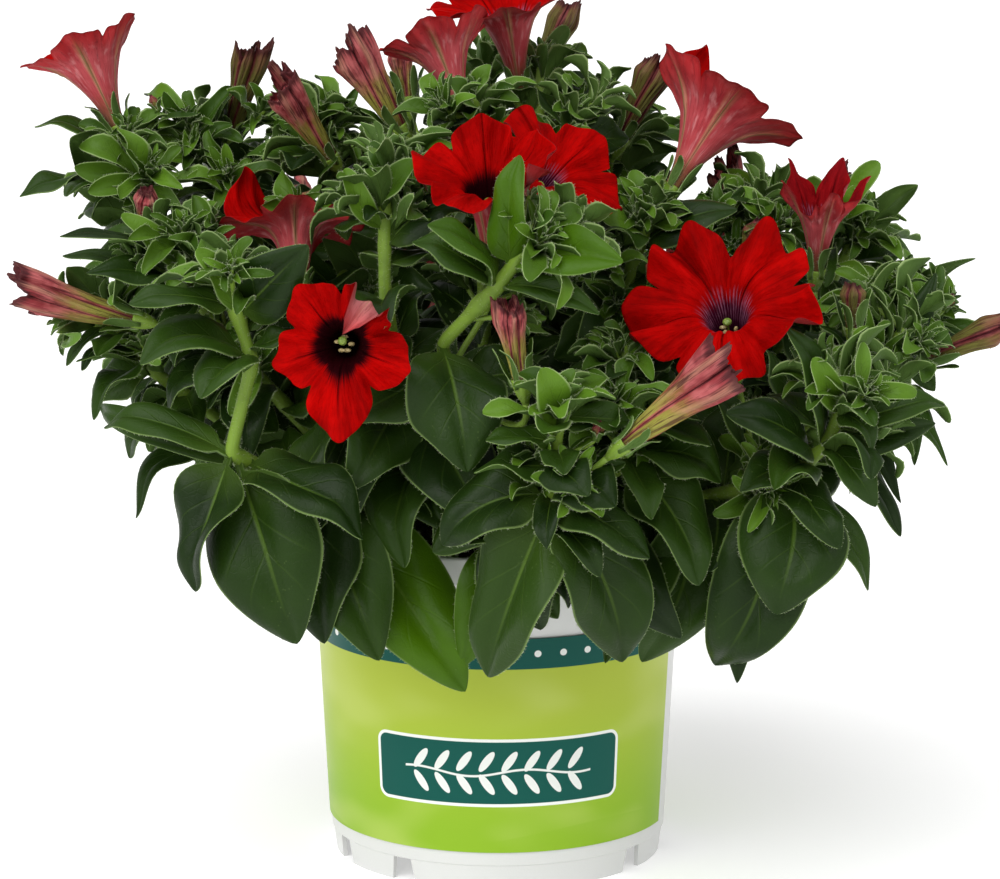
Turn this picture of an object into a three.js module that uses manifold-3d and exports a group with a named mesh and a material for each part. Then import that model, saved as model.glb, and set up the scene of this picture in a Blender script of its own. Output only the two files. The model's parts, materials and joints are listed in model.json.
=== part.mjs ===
// A bushy trailing petunia with red flowers, growing in a white plastic nursery pot with a
// printed wrap label. Millimetres, +Z up; the pot's axis is the Z axis and it stands on Z = 0.
// -Y is the front. Each leafy shoot, each open flower and each closed flower is a mesh of its own.
import * as THREE from "three";
import { mergeVertices } from "three/addons/utils/BufferGeometryUtils.js";
import Module from "manifold-3d";

const wasm = await Module();
wasm.setup();

// ---------- driving dimensions ----------
const pot = {
  height: 122,
  footRadius: 59.4, // outside, at the ground
  seam: 8.6, // height of the fine step where the foot ring meets the wall
  seamRadius: 61,
  collar: 112, // height of the rim collar's underside
  collarRadius: 66.4, // outside of the wall under the collar
  rimRadius: 69,
  wall: 1.6,
  sides: 36,
};
const notches = { count: 3, first: 50, narrow: 7, foot: 25, height: 7.6 }; // degrees round the foot ring
const drain = { count: 4, circle: 34, radius: 4.5 };
const label = { bottom: 14, top: 92.5, from: 100, steps: 33, film: 0.4, gap: 0.3 }; // a step is a pot side
const soil = { top: 110, gap: 0.3, depth: 12 };

const stem = { baseRadius: 2.5, tipRadius: 1.4, sides: 4, steps: 5, rise: 45, ringNear: 12, ringFar: 54 };
const stalk = { radius: 1.1, steps: 2 };
const calyx = { neck: 5.5, pit: 2.5, rim: 2.5, outer: 4.9, inner: 4.1, toothRadius: 6, tooth: 13 };
const nest = { apex: 2, rim: 3, radius: 2.85 }; // the tapered base of a flower that sits in the calyx
const blade = { thickness: 1.2, stalk: 0.1, rise: 0.5, fall: 0.7 };
const petal = { thickness: 0.75, baseRadius: 2.1, columns: 15, steps: 24 };
const rosette = 4; // small leaves round each shoot's tip
const clearance = 0.35; // kept between a leaf and every other piece

// ---------- the plant ----------
// Leafy shoots. tip is where the shoot ends and via, where given, the places that its stem passes.
// Each of its named leaves is [how far up the stem it grows, where its tip lies, its width].
// more is the number of other leaves below the small ones round the tip, and above the share from.
const shoots = [
  { tip: [-138, 10, 250], more: 3, from: 0.66, leaves: [
    [0.96, [-172, 0, 243], 17], [0.98, [-165, 5, 268], 15], [0.92, [-153, -20, 245], 20],
  ] },
  { tip: [-114, -60, 234], more: 3, leaves: [[0.94, [-150, -62, 240], 13], [0.85, [-140, -75, 224], 14]] },
  { tip: [-138, -40, 208], more: 2, leaves: [
    [0.95, [-152, -45, 226], 12], [0.85, [-146, -55, 190], 14], [0.95, [-150, -38, 183], 9],
  ] },
  { tip: [-91, -110, 229], more: 1, from: 0.7,
    via: [[-48, -58, 134], [-70, -82, 152], [-90, -105, 166], [-82, -108, 198]], leaves: [
    [0.58, [-68, -124, 104], 42], [0.6, [-102, -114, 120], 30], [0.55, [-47, -130, 135], 28],
    [0.34, [-40, -110, 96], 34], [0.22, [-11, -98, 82], 36], [0.6, [-136, -90, 177], 16],
    [0.82, [-99, -127, 190], 24], [0.9, [-62, -127, 240], 24], [0.92, [-122, -122, 222], 14],
  ] },
  { tip: [-38, -90, 258], more: 2, from: 0.7,
    via: [[-19, -46, 138], [-26, -66, 164], [-34, -86, 190], [-38, -98, 222]], leaves: [
    [0.5, [7, -125, 149], 32], [0.52, [-47, -120, 158], 28], [0.36, [-34, -106, 124], 30],
    [0.4, [-52, -106, 146], 24],
  ] },
  { tip: [-67, -10, 268], more: 4, from: 0.6, leaves: [] },
  { tip: [-8, -40, 280], more: 3, from: 0.7, leaves: [] },
  { tip: [27, 0, 271], more: 3, from: 0.7, leaves: [] },
  { tip: [14, -130, 247], more: 1, from: 0.7, ring: 38, swing: -8,
    via: [[-5, -52, 140], [-11, -80, 172], [-19, -108, 204], [0, -124, 226]], leaves: [
    [0.6, [-10, -132, 165], 34], [0.86, [40, -150, 238], 22], [0.86, [7, -130, 272], 16],
    [0.8, [-22, -142, 250], 20], [0.8, [33, -142, 220], 12],
  ] },
  { tip: [52, -60, 244], more: 2, from: 0.6, leaves: [
    [0.92, [30, -78, 234], 22], [0.9, [82, -62, 244], 20],
  ] },
  { tip: [20, -140, 192], more: 0,
    via: [[9, -72, 132], [13, -100, 146], [17, -124, 149], [18, -134, 161]], leaves: [
    [0.7, [-4, -122, 93], 36], [0.72, [43, -124, 96], 34], [0.74, [-20, -130, 140], 26],
    [0.76, [50, -140, 138], 30], [0.3, [-10, -94, 88], 24],
  ] },
  { tip: [41, -100, 202], more: 1, from: 0.6,
    via: [[22, -56, 136], [32, -80, 152], [44, -100, 162], [44, -102, 182]], leaves: [
    [0.6, [68, -127, 127], 28], [0.62, [76, -112, 160], 24], [0.5, [26, -104, 118], 26],
  ] },
  { tip: [117, -120, 192], more: 0,
    via: [[48, -52, 134], [74, -80, 147], [98, -105, 157], [110, -114, 172]], leaves: [
    [0.6, [91, -130, 117], 38], [0.36, [51, -97, 91], 32], [0.56, [71, -106, 88], 34],
    [0.56, [127, -108, 120], 17], [0.72, [77, -136, 187], 22], [0.76, [92, -127, 213], 20],
    [0.78, [124, -145, 168], 18], [0.84, [150, -110, 187], 18], [0.68, [148, -100, 176], 14],
  ] },
  { tip: [140, -70, 203], more: 2, leaves: [[0.7, [138, -98, 137], 24], [0.86, [154, -88, 159], 12]] },
  { tip: [148, -20, 211], more: 5, from: 0.5, leaves: [] },
  { tip: [134, 10, 232], more: 5, from: 0.5, swing: 8, leaves: [] },
  { tip: [93, -20, 241], more: 3, from: 0.6, leaves: [] },
  { tip: [-107, 30, 264], more: 3, from: 0.6, leaves: [] },
  { tip: [47, 40, 263], more: 3, from: 0.7, leaves: [] },
  { tip: [17, 30, 286], more: 3, from: 0.7, leaves: [] },
  { tip: [128, 54, 186], more: 5, swing: 4, leaves: [] },
  { tip: [104, 106, 214], more: 6, leaves: [] },
  { tip: [56, 106, 250], more: 5, from: 0.5, leaves: [] },
  { tip: [30, 150, 184], more: 6, leaves: [] },
  { tip: [-22, 122, 236], more: 6, leaves: [] },
  { tip: [-68, 136, 200], more: 6, leaves: [] },
  { tip: [-96, 86, 242], more: 5, from: 0.5, leaves: [] },
  { tip: [-136, 60, 192], more: 5, leaves: [] },
  { tip: [-4, 72, 284], more: 5, from: 0.6, leaves: [] },
];

// Open flowers: the shoot that each grows from and how far up it, where its base sits, where the
// middle of its mouth lies, the lengths of its tube and of its lobes, how far the lobes flare in
// degrees, how it is rolled, and the extra bend of each lobe, backward or (negative) forward.
// reach, where given, makes each lobe longer or shorter.
const flowers = [
  { on: 4, at: 0.5, base: [-48, -102, 204], mouth: [-52, -135, 208], tube: 25, limb: 19, flare: 86,
    roll: -36, bends: [-1.9, 0.1, 0.3, 0.2, -0.2], reach: [1.1, 1, 0.95, 1.45, 1.1] },
  { on: 12, at: 0.46, base: [81, -82, 190], mouth: [75.8, -105, 216], tube: 28, limb: 34, flare: 84,
    roll: 40, bends: [0.1, 0.2, 0.35, -1.5, 0.3] },
  { on: 8, at: 0.5, base: [-2, -95, 227], mouth: [-3, -111, 261], tube: 29, limb: 24, flare: 62,
    roll: 10, bends: [-0.5, 0.3, 0.5, -0.8, -0.9] },
  { on: 9, at: 0.75, base: [6, -66, 238], mouth: [18, -78, 257], tube: 21, limb: 24, flare: 74,
    roll: 0, bends: [0.3, 0.5, -0.3, 0.4, -0.2] },
  { on: 5, at: 0.66, base: [-68, -66, 210], mouth: [-70, -56, 230], tube: 22, limb: 24, flare: 84,
    roll: 30, bends: [0.3, 0.4, -0.1, -1.2, 0.1] },
  { on: 0, at: 0.9, base: [-136, 12, 261], mouth: [-146, 22, 286], tube: 26, limb: 20, flare: 44,
    roll: 0, bends: [0.2, 0.1, -0.1, 0.6, 0.1] },
  { on: 16, at: 0.62, base: [60, -20, 243], mouth: [76, -8, 268], tube: 29, limb: 30, flare: 58,
    roll: 15, bends: [0.1, 0.3, 0.3, 0.1, -0.2] },
  { on: 19, at: 0.8, base: [8, 24, 273], mouth: [4, 20, 300], tube: 27, limb: 25, flare: 66,
    roll: 0, bends: [0.2, 0.1, 0.3, -0.2, 0.3] },
  { on: 6, at: 0.86, base: [-12, -14, 270], mouth: [-19, -7, 290], tube: 21, limb: 18, flare: 52,
    roll: 20, bends: [0, 0.2, 0.1, 0.3, 0] },
  { on: 13, at: 0.74, base: [111, -40, 217], mouth: [112, -47, 241], tube: 22, limb: 15, flare: 36,
    roll: 10, bends: [0, -0.2, 0.1, -0.1, 0.1] },
  { on: 21, at: 0.5, base: [72, 98, 174], mouth: [86, 122, 190], tube: 28, limb: 24, flare: 78,
    roll: 25, bends: [0.3, 0.1, 0.2, 0.3, 0] },
  { on: 24, at: 0.46, base: [-29, 104, 168], mouth: [-33, 130, 181], tube: 27, limb: 25, flare: 84,
    roll: 5, bends: [0.1, 0.2, 0, 0.3, 0.2] },
  { on: 26, at: 0.46, base: [-100, 84, 164], mouth: [-124, 98, 176], tube: 28, limb: 22, flare: 74,
    roll: 50, bends: [0.2, 0.2, 0.1, 0.4, 0] },
];

// Flowers that are closed, rolled up or wilted: base, tip, greatest width, and how open the end is.
const closed = [
  { on: 17, at: 0.86, base: [-97, 22, 258], tip: [-88, 12, 291], width: 11, open: 1 },
  { on: 5, at: 0.88, base: [-58, -28, 256], tip: [-75, -46, 284], width: 12, open: 1 },
  { on: 6, at: 0.72, base: [-33, -38, 267], tip: [-51, -42, 297], width: 14, open: 1 },
  { on: 18, at: 0.86, base: [44, 22, 256], tip: [58, 20, 286], width: 12, open: 0.6 },
  { on: 10, at: 0.5, base: [40, -140, 175], tip: [73, -152, 204], width: 16, open: 1 },
  { on: 2, at: 0.84, base: [-124, -52, 203], tip: [-164, -54, 213], width: 15, open: 1 },
  { on: 13, at: 0.88, base: [146, -58, 189], tip: [174, -62, 203], width: 11, open: 0.6 },
  { on: 8, at: 0.42, base: [8, -132, 194], tip: [3, -134, 221], width: 10, open: 0.8 },
  { on: 1, at: 0.9, base: [-122, -52, 232], tip: [-121, -58, 249], width: 8, open: 0.4 },
  { on: 6, at: 0.9, base: [-32, 22, 270], tip: [-36, 26, 290], width: 9, open: 0.5 },
  { on: 15, at: 0.7, base: [87, 12, 231], tip: [81, 6, 249], width: 12, open: 1 },
  { on: 12, at: 0.88, base: [120, -96, 205], tip: [119, -96, 222], width: 8, open: 0.4 },
  { on: 21, at: 0.86, base: [116, 92, 216], tip: [136, 104, 234], width: 12, open: 0.8 },
  { on: 25, at: 0.86, base: [-68, 122, 208], tip: [-82, 140, 228], width: 12, open: 0.8 },
  { on: 28, at: 0.86, base: [14, 76, 272], tip: [26, 84, 300], width: 12, open: 0.6 },
];

// How a leaf may give way to a neighbour: turned and lifted about its root in degrees, and its size.
const tries = [
  [0, 0, 1], [0, 9, 1], [0, -9, 1], [10, 0, 1], [-10, 0, 1], [12, 12, 1], [-12, 12, 1],
  [16, -10, 0.95], [-16, -10, 0.95], [0, 20, 0.9], [0, -20, 0.9], [26, 6, 0.9], [-26, 6, 0.9],
  [22, -20, 0.85], [-22, -20, 0.85], [20, 26, 0.85], [-20, 26, 0.85], [0, 34, 0.8], [38, 0, 0.75],
  [-38, 0, 0.75], [32, 24, 0.7], [-32, 24, 0.7], [0, 10, 0.6], [14, 0, 0.55], [-14, 0, 0.55],
];

// ---------- small tools ----------
const { sin, cos, abs, min, max, PI, round } = Math;
const rad = THREE.MathUtils.degToRad;
const vec = (x, y, z) => new THREE.Vector3(x, y, z);
const along = (p, d, k) => p.clone().addScaledVector(d, k);
const mix = (a, b, k) => a + (b - a) * k;
const smooth = (k) => THREE.MathUtils.smoothstep(k, 0, 1);
const square = (v, axis) => v.clone().addScaledVector(axis, -v.dot(axis)).normalize();
const up = vec(0, 0, 1);
const front = vec(0, -1, 0);

// A repeatable random draw between 0 and 1 (mulberry32).
function seeded(seed) {
  let state = seed >>> 0;
  return () => {
    state = (state + 0x6d2b79f5) >>> 0;
    let t = state;
    t = Math.imul(t ^ (t >>> 15), t | 1);
    t ^= t + Math.imul(t ^ (t >>> 7), t | 61);
    return ((t ^ (t >>> 14)) >>> 0) / 4294967296;
  };
}

function solidOf(geometry) {
  const g = geometry.clone();
  g.deleteAttribute("normal");
  g.deleteAttribute("uv");
  const merged = mergeVertices(g, 1e-4);
  return new wasm.Manifold(
    new wasm.Mesh({
      numProp: 3,
      vertProperties: new Float32Array(merged.attributes.position.array),
      triVerts: new Uint32Array(merged.index.array),
    }),
  );
}

function solidFrom(points, faces) {
  const g = new THREE.BufferGeometry().setFromPoints(points);
  g.setIndex(faces.flat());
  return solidOf(g);
}

function geometryFrom(solid) {
  const m = solid.getMesh();
  const g = new THREE.BufferGeometry();
  g.setAttribute("position", new THREE.BufferAttribute(m.vertProperties, m.numProp));
  g.setIndex(new THREE.BufferAttribute(m.triVerts, 1));
  return g;
}

// A closed body through rings of points, each ring turning anticlockwise about the way the rings
// follow one another. A ring of one point is a tip; other end rings are closed flat. A skin that
// turns back at ring number fold has the same diagonals on both sides, so that they never cross.
function loft(rings, fold = rings.length) {
  const faces = [];
  let start = 0;
  rings.forEach((ring, i) => {
    const next = rings[i + 1];
    const b = start + ring.length;
    for (let j = 0; next && j < max(ring.length, next.length); j++) {
      const k = (j + 1) % max(ring.length, next.length);
      if (next.length === 1) faces.push([start + j, start + k, b]);
      else if (ring.length === 1) faces.push([start, b + k, b + j]);
      else if (i < fold) faces.push([start + j, start + k, b + k], [start + j, b + k, b + j]);
      else faces.push([start + j, start + k, b + j], [start + k, b + k, b + j]);
    }
    for (let j = 2; i === 0 && j < ring.length; j++) faces.push([start, start + j, start + j - 1]);
    for (let j = 2; !next && j < ring.length; j++) faces.push([start, start + j - 1, start + j]);
    start = b;
  });
  return solidFrom(rings.flat(), faces);
}

function bezier(p0, p1, p2, p3, t) {
  const s = 1 - t;
  return vec(0, 0, 0)
    .addScaledVector(p0, s * s * s)
    .addScaledVector(p1, 3 * s * s * t)
    .addScaledVector(p2, 3 * s * t * t)
    .addScaledVector(p3, t * t * t);
}

// A tube with flat ends through points, thinning evenly from the first radius to the second.
function tube(path, radii, sides, hint) {
  const last = path.length - 1;
  return loft(
    path.map((centre, i) => {
      const axis = path[min(i + 1, last)].clone().sub(path[max(i - 1, 0)]).normalize();
      const side = square(hint, axis);
      const other = axis.clone().cross(side);
      const r = mix(radii[0], radii[1], i / last);
      return Array.from({ length: sides }, (_, j) => {
        const a = (2 * PI * j) / sides;
        return along(along(centre, side, r * cos(a)), other, r * sin(a));
      });
    }),
  );
}

// ---------- pot, label and soil ----------
function lathe(profile) {
  const points = profile.map(([r, z]) => new THREE.Vector2(r, z));
  return solidOf(new THREE.LatheGeometry(points, pot.sides).rotateX(PI / 2));
}

const wallRadius = (z) =>
  mix(pot.seamRadius, pot.collarRadius, (z - pot.seam) / (pot.collar - pot.seam));

// A standing cylinder; across is its radius to the flats.
function peg(x, y, bottom, top, across, sides) {
  const r = across / cos(PI / sides);
  const g = new THREE.CylinderGeometry(r, r, top - bottom, sides).rotateX(PI / 2);
  return solidOf(g.translate(x, y, (top + bottom) / 2));
}

function makePot() {
  const floor = pot.seam + pot.wall;
  const shelf = pot.collar + pot.wall; // inside, where the collar steps out
  const body = lathe([
    [0, pot.seam],
    [pot.footRadius - pot.wall + 0.9, pot.seam],
    [pot.footRadius - pot.wall, 0],
    [pot.footRadius, 0],
    [pot.seamRadius - 0.5, pot.seam],
    [pot.seamRadius, pot.seam + 0.4],
    [pot.collarRadius, pot.collar],
    [pot.rimRadius, pot.collar],
    [pot.rimRadius, pot.height - 0.8],
    [pot.rimRadius - 0.6, pot.height],
    [pot.rimRadius - pot.wall, pot.height],
    [pot.rimRadius - pot.wall, shelf],
    [pot.collarRadius - pot.wall, shelf],
    [wallRadius(floor) - pot.wall, floor],
    [0, floor],
  ]);
  const cuts = [];
  for (let i = 0; i < notches.count; i++) {
    const start = notches.first + (i * 360) / notches.count;
    for (const from of [start, start + notches.narrow + notches.foot]) {
      cuts.push(notch(from, from + notches.narrow));
    }
  }
  for (let i = 0; i < drain.count; i++) {
    const a = (2 * PI * (i + 0.5)) / drain.count;
    const x = drain.circle * cos(a);
    const y = drain.circle * sin(a);
    cuts.push(peg(x, y, pot.seam - 2, floor + 2, drain.radius, 8));
  }
  return wasm.Manifold.difference([body, ...cuts]);
}

// A wedge-shaped gap through the foot ring between two bearings, wider at the ground.
function notch(from, to) {
  const ring = (z, spread) => {
    const reach = [pot.footRadius - 4, pot.footRadius + 4];
    const a = rad(from - spread);
    const b = rad(to + spread);
    const at = (r, bearing) => vec(r * sin(bearing), -r * cos(bearing), z);
    return [at(reach[0], a), at(reach[1], a), at(reach[1], b), at(reach[0], b)];
  };
  return loft([ring(-1, 1.2), ring(notches.height, 0)]);
}

function makeLabel() {
  const rings = [];
  for (let i = 0; i <= label.steps; i++) {
    const a = rad(label.from) + (2 * PI * i) / pot.sides;
    const at = (z, out) => {
      const r = wallRadius(z) + label.gap + out;
      return vec(r * sin(a), -r * cos(a), z);
    };
    rings.push([
      at(label.bottom, 0),
      at(label.top, 0),
      at(label.top, label.film),
      at(label.bottom, label.film),
    ]);
  }
  return loft(rings);
}

function makeSoil() {
  const bottom = pot.seam + pot.wall + soil.gap;
  const plug = lathe([
    [0, bottom],
    [wallRadius(bottom) - pot.wall - soil.gap, bottom],
    [wallRadius(soil.top) - pot.wall - soil.gap, soil.top],
    [0, soil.top],
  ]);
  const holes = shoots.map((shoot) => {
    const root = rootOf(shoot);
    return peg(root.x, root.y, root.z - soil.gap, soil.top + 2, stem.baseRadius + soil.gap, stem.sides);
  });
  return wasm.Manifold.difference([plug, ...holes]);
}

// ---------- stems ----------
function outward(p) {
  return vec(p.x, p.y, 0).normalize();
}

// The stem leaves the soil on the same side as its tip, the further out the further out it ends.
function rootOf(shoot) {
  const [x, y] = shoot.tip;
  const reach = Math.hypot(x, y);
  const ring = shoot.ring ?? min(stem.ringFar, stem.ringNear + 0.3 * reach);
  return vec(x, y, 0)
    .setLength(ring)
    .applyAxisAngle(up, rad(shoot.swing ?? 0))
    .setZ(soil.top - soil.depth + soil.gap);
}

function stemPath(shoot) {
  const root = rootOf(shoot);
  const tip = vec(...shoot.tip);
  const foot = root.clone().setZ(soil.top + 1);
  if (shoot.via) return [root, foot, ...shoot.via.map((p) => vec(...p)), tip];
  const p1 = foot.clone().setZ(foot.z + stem.rise);
  const lean = along(up, outward(tip), 0.35).normalize();
  const p2 = along(tip, lean, -0.4 * tip.distanceTo(foot));
  const path = [root];
  for (let i = 0; i <= stem.steps; i++) path.push(bezier(foot, p1, p2, tip, i / stem.steps));
  return path;
}

// The place and the direction of the stem, share of the way from the soil to its tip.
function stemAt(path, share) {
  const k = min(stem.steps - 1, Math.floor(share * stem.steps));
  const a = path[k + 1];
  const b = path[k + 2];
  return { point: a.clone().lerp(b, share * stem.steps - k), axis: b.clone().sub(a).normalize() };
}

// ---------- leaves ----------
// A leaf runs from its root to its tip along an arc that turns through curl radians and arches
// towards its upper side. Its halves fold up by fold radians, and its edge waves. Leaves face up
// and outward, the named ones more to the front.
function leafFrame(leaf) {
  const d = leaf.tip.clone().sub(leaf.root);
  const span = d.length();
  d.divideScalar(span);
  const n = square(leaf.face, d);
  return { span, d, n, side: d.clone().cross(n) };
}

function leafSpine(leaf, frame, u) {
  const half = leaf.curl / 2;
  const r = frame.span / (2 * sin(half));
  const a = leaf.curl * (0.5 - u);
  const foot = along(leaf.root, frame.d, r * (sin(half) - sin(a)));
  return {
    point: along(foot, frame.n, r * (cos(a) - cos(half))),
    normal: frame.n.clone().multiplyScalar(cos(a)).addScaledVector(frame.d, -sin(a)),
  };
}

// Half the blade's width, u of the way along it: an egg-shaped blade on a short flat stalk.
function leafHalf(leaf, u) {
  const q = (u - blade.stalk) / (1 - blade.stalk);
  const peak = blade.rise / (blade.rise + blade.fall);
  const top = peak ** blade.rise * (1 - peak) ** blade.fall;
  return q <= 0 || q >= 1 ? 0 : ((leaf.width / 2) * q ** blade.rise * (1 - q) ** blade.fall) / top;
}

function leafEdge(leaf, frame, u, v) {
  const { point, normal } = leafSpine(leaf, frame, u);
  const h = leafHalf(leaf, u);
  const wave = leaf.wave * h * sin(2 * PI * (1.4 * u + leaf.phase + 0.25 * v));
  return along(along(point, frame.side, v * h * cos(leaf.fold)), normal, h * sin(leaf.fold) + wave);
}

const leafRows = { large: [0.22, 0.46, 0.76], small: [0.32, 0.66] };

// The blade's section is a thin lozenge, without its upper corner in a small leaf. With from given,
// only the part beyond it is made.
function leafSolid(leaf, from = 0) {
  const frame = leafFrame(leaf);
  const rows = (leaf.small ? leafRows.small : leafRows.large).filter((u) => u > from);
  const corners = leaf.small ? 3 : 4;
  const points = [leafSpine(leaf, frame, from).point];
  for (const u of rows) {
    const { point, normal } = leafSpine(leaf, frame, u);
    points.push(leafEdge(leaf, frame, u, -1));
    if (!leaf.small) points.push(along(point, normal, blade.thickness / 2));
    points.push(leafEdge(leaf, frame, u, 1), along(point, normal, -blade.thickness / 2));
  }
  const end = points.length;
  points.push(leaf.tip);
  const faces = [];
  for (let j = 0; j < corners; j++) {
    const k = (j + 1) % corners;
    faces.push([0, 1 + k, 1 + j]);
    for (let a = 1; a + corners < end; a += corners) {
      const b = a + corners;
      // the same diagonals over and under the blade, so that its faces never cross
      if (j % 2 === 0) faces.push([a + j, a + k, b + k], [a + j, b + k, b + j]);
      else faces.push([a + j, a + k, b + j], [a + k, b + k, b + j]);
    }
    faces.push([end - corners + j, end - corners + k, end]);
  }
  return solidFrom(points, faces);
}

// The leaf as it lies after one of the tries.
function moved(leaf, [turn, lift, size]) {
  const { span, d, n, side } = leafFrame(leaf);
  const flat = d.clone().multiplyScalar(cos(rad(turn))).addScaledVector(side, sin(rad(turn)));
  const chord = flat.multiplyScalar(cos(rad(lift))).addScaledVector(n, sin(rad(lift)));
  return { ...leaf, tip: along(leaf.root, chord, span * size), width: leaf.width * size };
}

// All leaves that a shoot would grow if nothing stood in their way.
function leavesOf(shoot, path, number) {
  const draw = seeded(number + 1);
  const leaves = [];
  const add = (share, tip, width, small) => {
    const root = stemAt(path, share).point;
    const out = outward(small ? root : along(root, front, 70));
    const face = along(along(up, out, 0.7), out.clone().cross(up), mix(-0.35, 0.35, draw()));
    leaves.push({
      root, tip, width, small, face,
      curl: mix(0.35, 1.1, draw()),
      fold: mix(0.12, 0.5, draw()),
      wave: mix(0.02, 0.14, draw()),
      phase: draw(),
    });
  };
  const grow = (share, bearing, splay, length, width, small) => {
    const { point, axis } = stemAt(path, share);
    const side = square(vec(-shoot.tip[1], shoot.tip[0], 0), axis);
    const out = side.clone().cross(axis);
    const away = out.multiplyScalar(cos(bearing)).addScaledVector(side, sin(bearing));
    const d = axis.clone().multiplyScalar(cos(splay)).addScaledVector(away, sin(splay));
    d.addScaledVector(up, small ? 0 : -0.35 * (1 - share)).normalize();
    add(share, along(point, d, length), width, small);
  };
  for (const [share, tip, width] of shoot.leaves) add(share, vec(...tip), width, false);
  for (let i = 0; i < shoot.more; i++) {
    const q = (i + 0.5) / shoot.more;
    const bearing = rad(((i * 137.5 + number * 50) % 360) - 180) * 0.62;
    const length = mix(50, 26, q) * mix(0.9, 1.1, draw());
    const share = mix(shoot.from ?? 0.42, 0.92, q);
    grow(share, bearing, rad(mix(85, 55, q)), length, length * mix(0.55, 0.68, draw()), true);
  }
  for (let i = 0; i < rosette; i++) {
    const q = i / (rosette - 1);
    const bearing = rad(i * 137.5 + number * 70);
    const length = mix(24, 15, q) * mix(0.85, 1.15, draw());
    grow(mix(0.92, 0.995, q), bearing, rad(mix(68, 26, q)), length, length * mix(0.4, 0.5, draw()), true);
  }
  return leaves;
}

// ---------- flowers ----------
function flowerFrame(base, tip) {
  const axis = tip.clone().sub(base).normalize();
  const side = square(abs(axis.z) > 0.95 ? front : up, axis);
  return { base, axis, side, other: axis.clone().cross(side) };
}

function place(frame, a, r, h) {
  const centre = along(frame.base, frame.axis, h);
  return along(along(centre, frame.side, r * cos(a)), frame.other, r * sin(a));
}

// The stalk from the stem to a flower's base, with the five-toothed green cup that the flower
// sits in at its end.
function stalkSolid(start, frame) {
  const end = place(frame, 0, 0, -calyx.neck);
  const reach = 0.4 * start.point.distanceTo(end);
  const p1 = along(start.point, start.axis, reach);
  const p2 = along(end, frame.axis, -reach);
  const points = [];
  const faces = [];
  for (let i = 0; i <= stalk.steps; i++) {
    const centre = bezier(start.point, p1, p2, end, i / stalk.steps);
    const ahead = bezier(start.point, p1, p2, end, min(1, (i + 0.5) / stalk.steps));
    const behind = bezier(start.point, p1, p2, end, max(0, (i - 0.5) / stalk.steps));
    const axis = ahead.sub(behind).normalize();
    const side = square(frame.side, axis);
    const other = axis.clone().cross(side);
    for (let j = 0; j < 5; j++) {
      const a = (2 * PI * j) / 5;
      const rim = along(along(centre, side, stalk.radius * cos(a)), other, stalk.radius * sin(a));
      points.push(rim);
    }
  }
  for (let j = 0; j < 5; j++) {
    const a = (2 * PI * j) / 5;
    points.push(place(frame, a, calyx.outer, calyx.rim));
  }
  for (let j = 0; j < 5; j++) {
    const a = (2 * PI * j) / 5;
    points.push(place(frame, a, calyx.inner, calyx.rim));
    points.push(place(frame, a + PI / 5, calyx.toothRadius, calyx.tooth));
  }
  const outer = 5 * (stalk.steps + 1);
  const pit = points.length;
  points.push(place(frame, 0, 0, -calyx.pit));
  faces.push([0, 2, 1], [0, 3, 2], [0, 4, 3]);
  for (let j = 0; j < 5; j++) {
    const k = (j + 1) % 5;
    for (let b = 0; b < outer; b += 5) faces.push([b + j, b + k, b + 5 + k], [b + j, b + 5 + k, b + 5 + j]);
    const [inner, tooth] = [outer + 5 + 2 * j, outer + 6 + 2 * j];
    const innerNext = outer + 5 + 2 * k;
    const toothBefore = outer + 6 + 2 * ((j + 4) % 5);
    faces.push([pit, inner, innerNext], [outer + j, outer + k, tooth], [innerNext, inner, tooth]);
    faces.push([outer + j, tooth, inner], [outer + j, inner, toothBefore]);
  }
  return solidFrom(points, faces);
}

// A flower's wall at bearing a, s of the way from its base to its edge: out from the axis, up it,
// and how far the wall leans there. The tube opens slowly, then flares into five lobes.
function petalAt(flower, a, s) {
  const lobe = abs(cos(2.5 * a));
  const number = round((5 * a) / (2 * PI)) % 5;
  const reach = mix(1, flower.reach?.[number] ?? 1, lobe);
  const limb = flower.limb * (0.8 + 0.2 * lobe ** 0.7) * reach;
  const bend = flower.bends[number] * lobe;
  const steps = petal.steps / 2;
  let r = petal.baseRadius;
  let h = 0;
  let lean = 0;
  for (let i = 0; i < s * petal.steps; i++) {
    const inTube = i < steps;
    const q = ((inTube ? i : i - steps) + 0.5) / steps;
    const step = ((inTube ? flower.tube : limb) / steps) * min(1, s * petal.steps - i);
    const flare = mix(17, flower.flare, smooth(q / 0.55));
    lean = inTube ? rad(mix(2, 17, q)) : rad(flare) + bend * q * q;
    r += step * sin(lean);
    h += step * cos(lean);
  }
  return { r, h, lean };
}

function flowerSolid(flower) {
  const frame = flowerFrame(vec(...flower.base), vec(...flower.mouth));
  const ring = (s, out) =>
    Array.from({ length: petal.columns }, (_, j) => {
      const a = (2 * PI * (j + 0.5)) / petal.columns;
      const { r, h, lean } = petalAt(flower, a, s);
      return place(frame, a + rad(flower.roll), r + out * cos(lean), h - out * sin(lean));
    });
  const first = (0.5 * nest.rim) / flower.tube;
  const skin = petal.thickness;
  const outside = [ring(first, skin), ring(0.5, skin), ring(0.74, skin), ring(1, skin / 2)];
  const inside = [ring(0.74, 0), ring(0.5, 0), ring(first, 0)];
  const [apex, floor] = [[place(frame, 0, 0, -nest.apex)], [place(frame, 0, 0, nest.rim / 2)]];
  return loft([apex, ...outside, ...inside, floor], outside.length);
}

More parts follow.
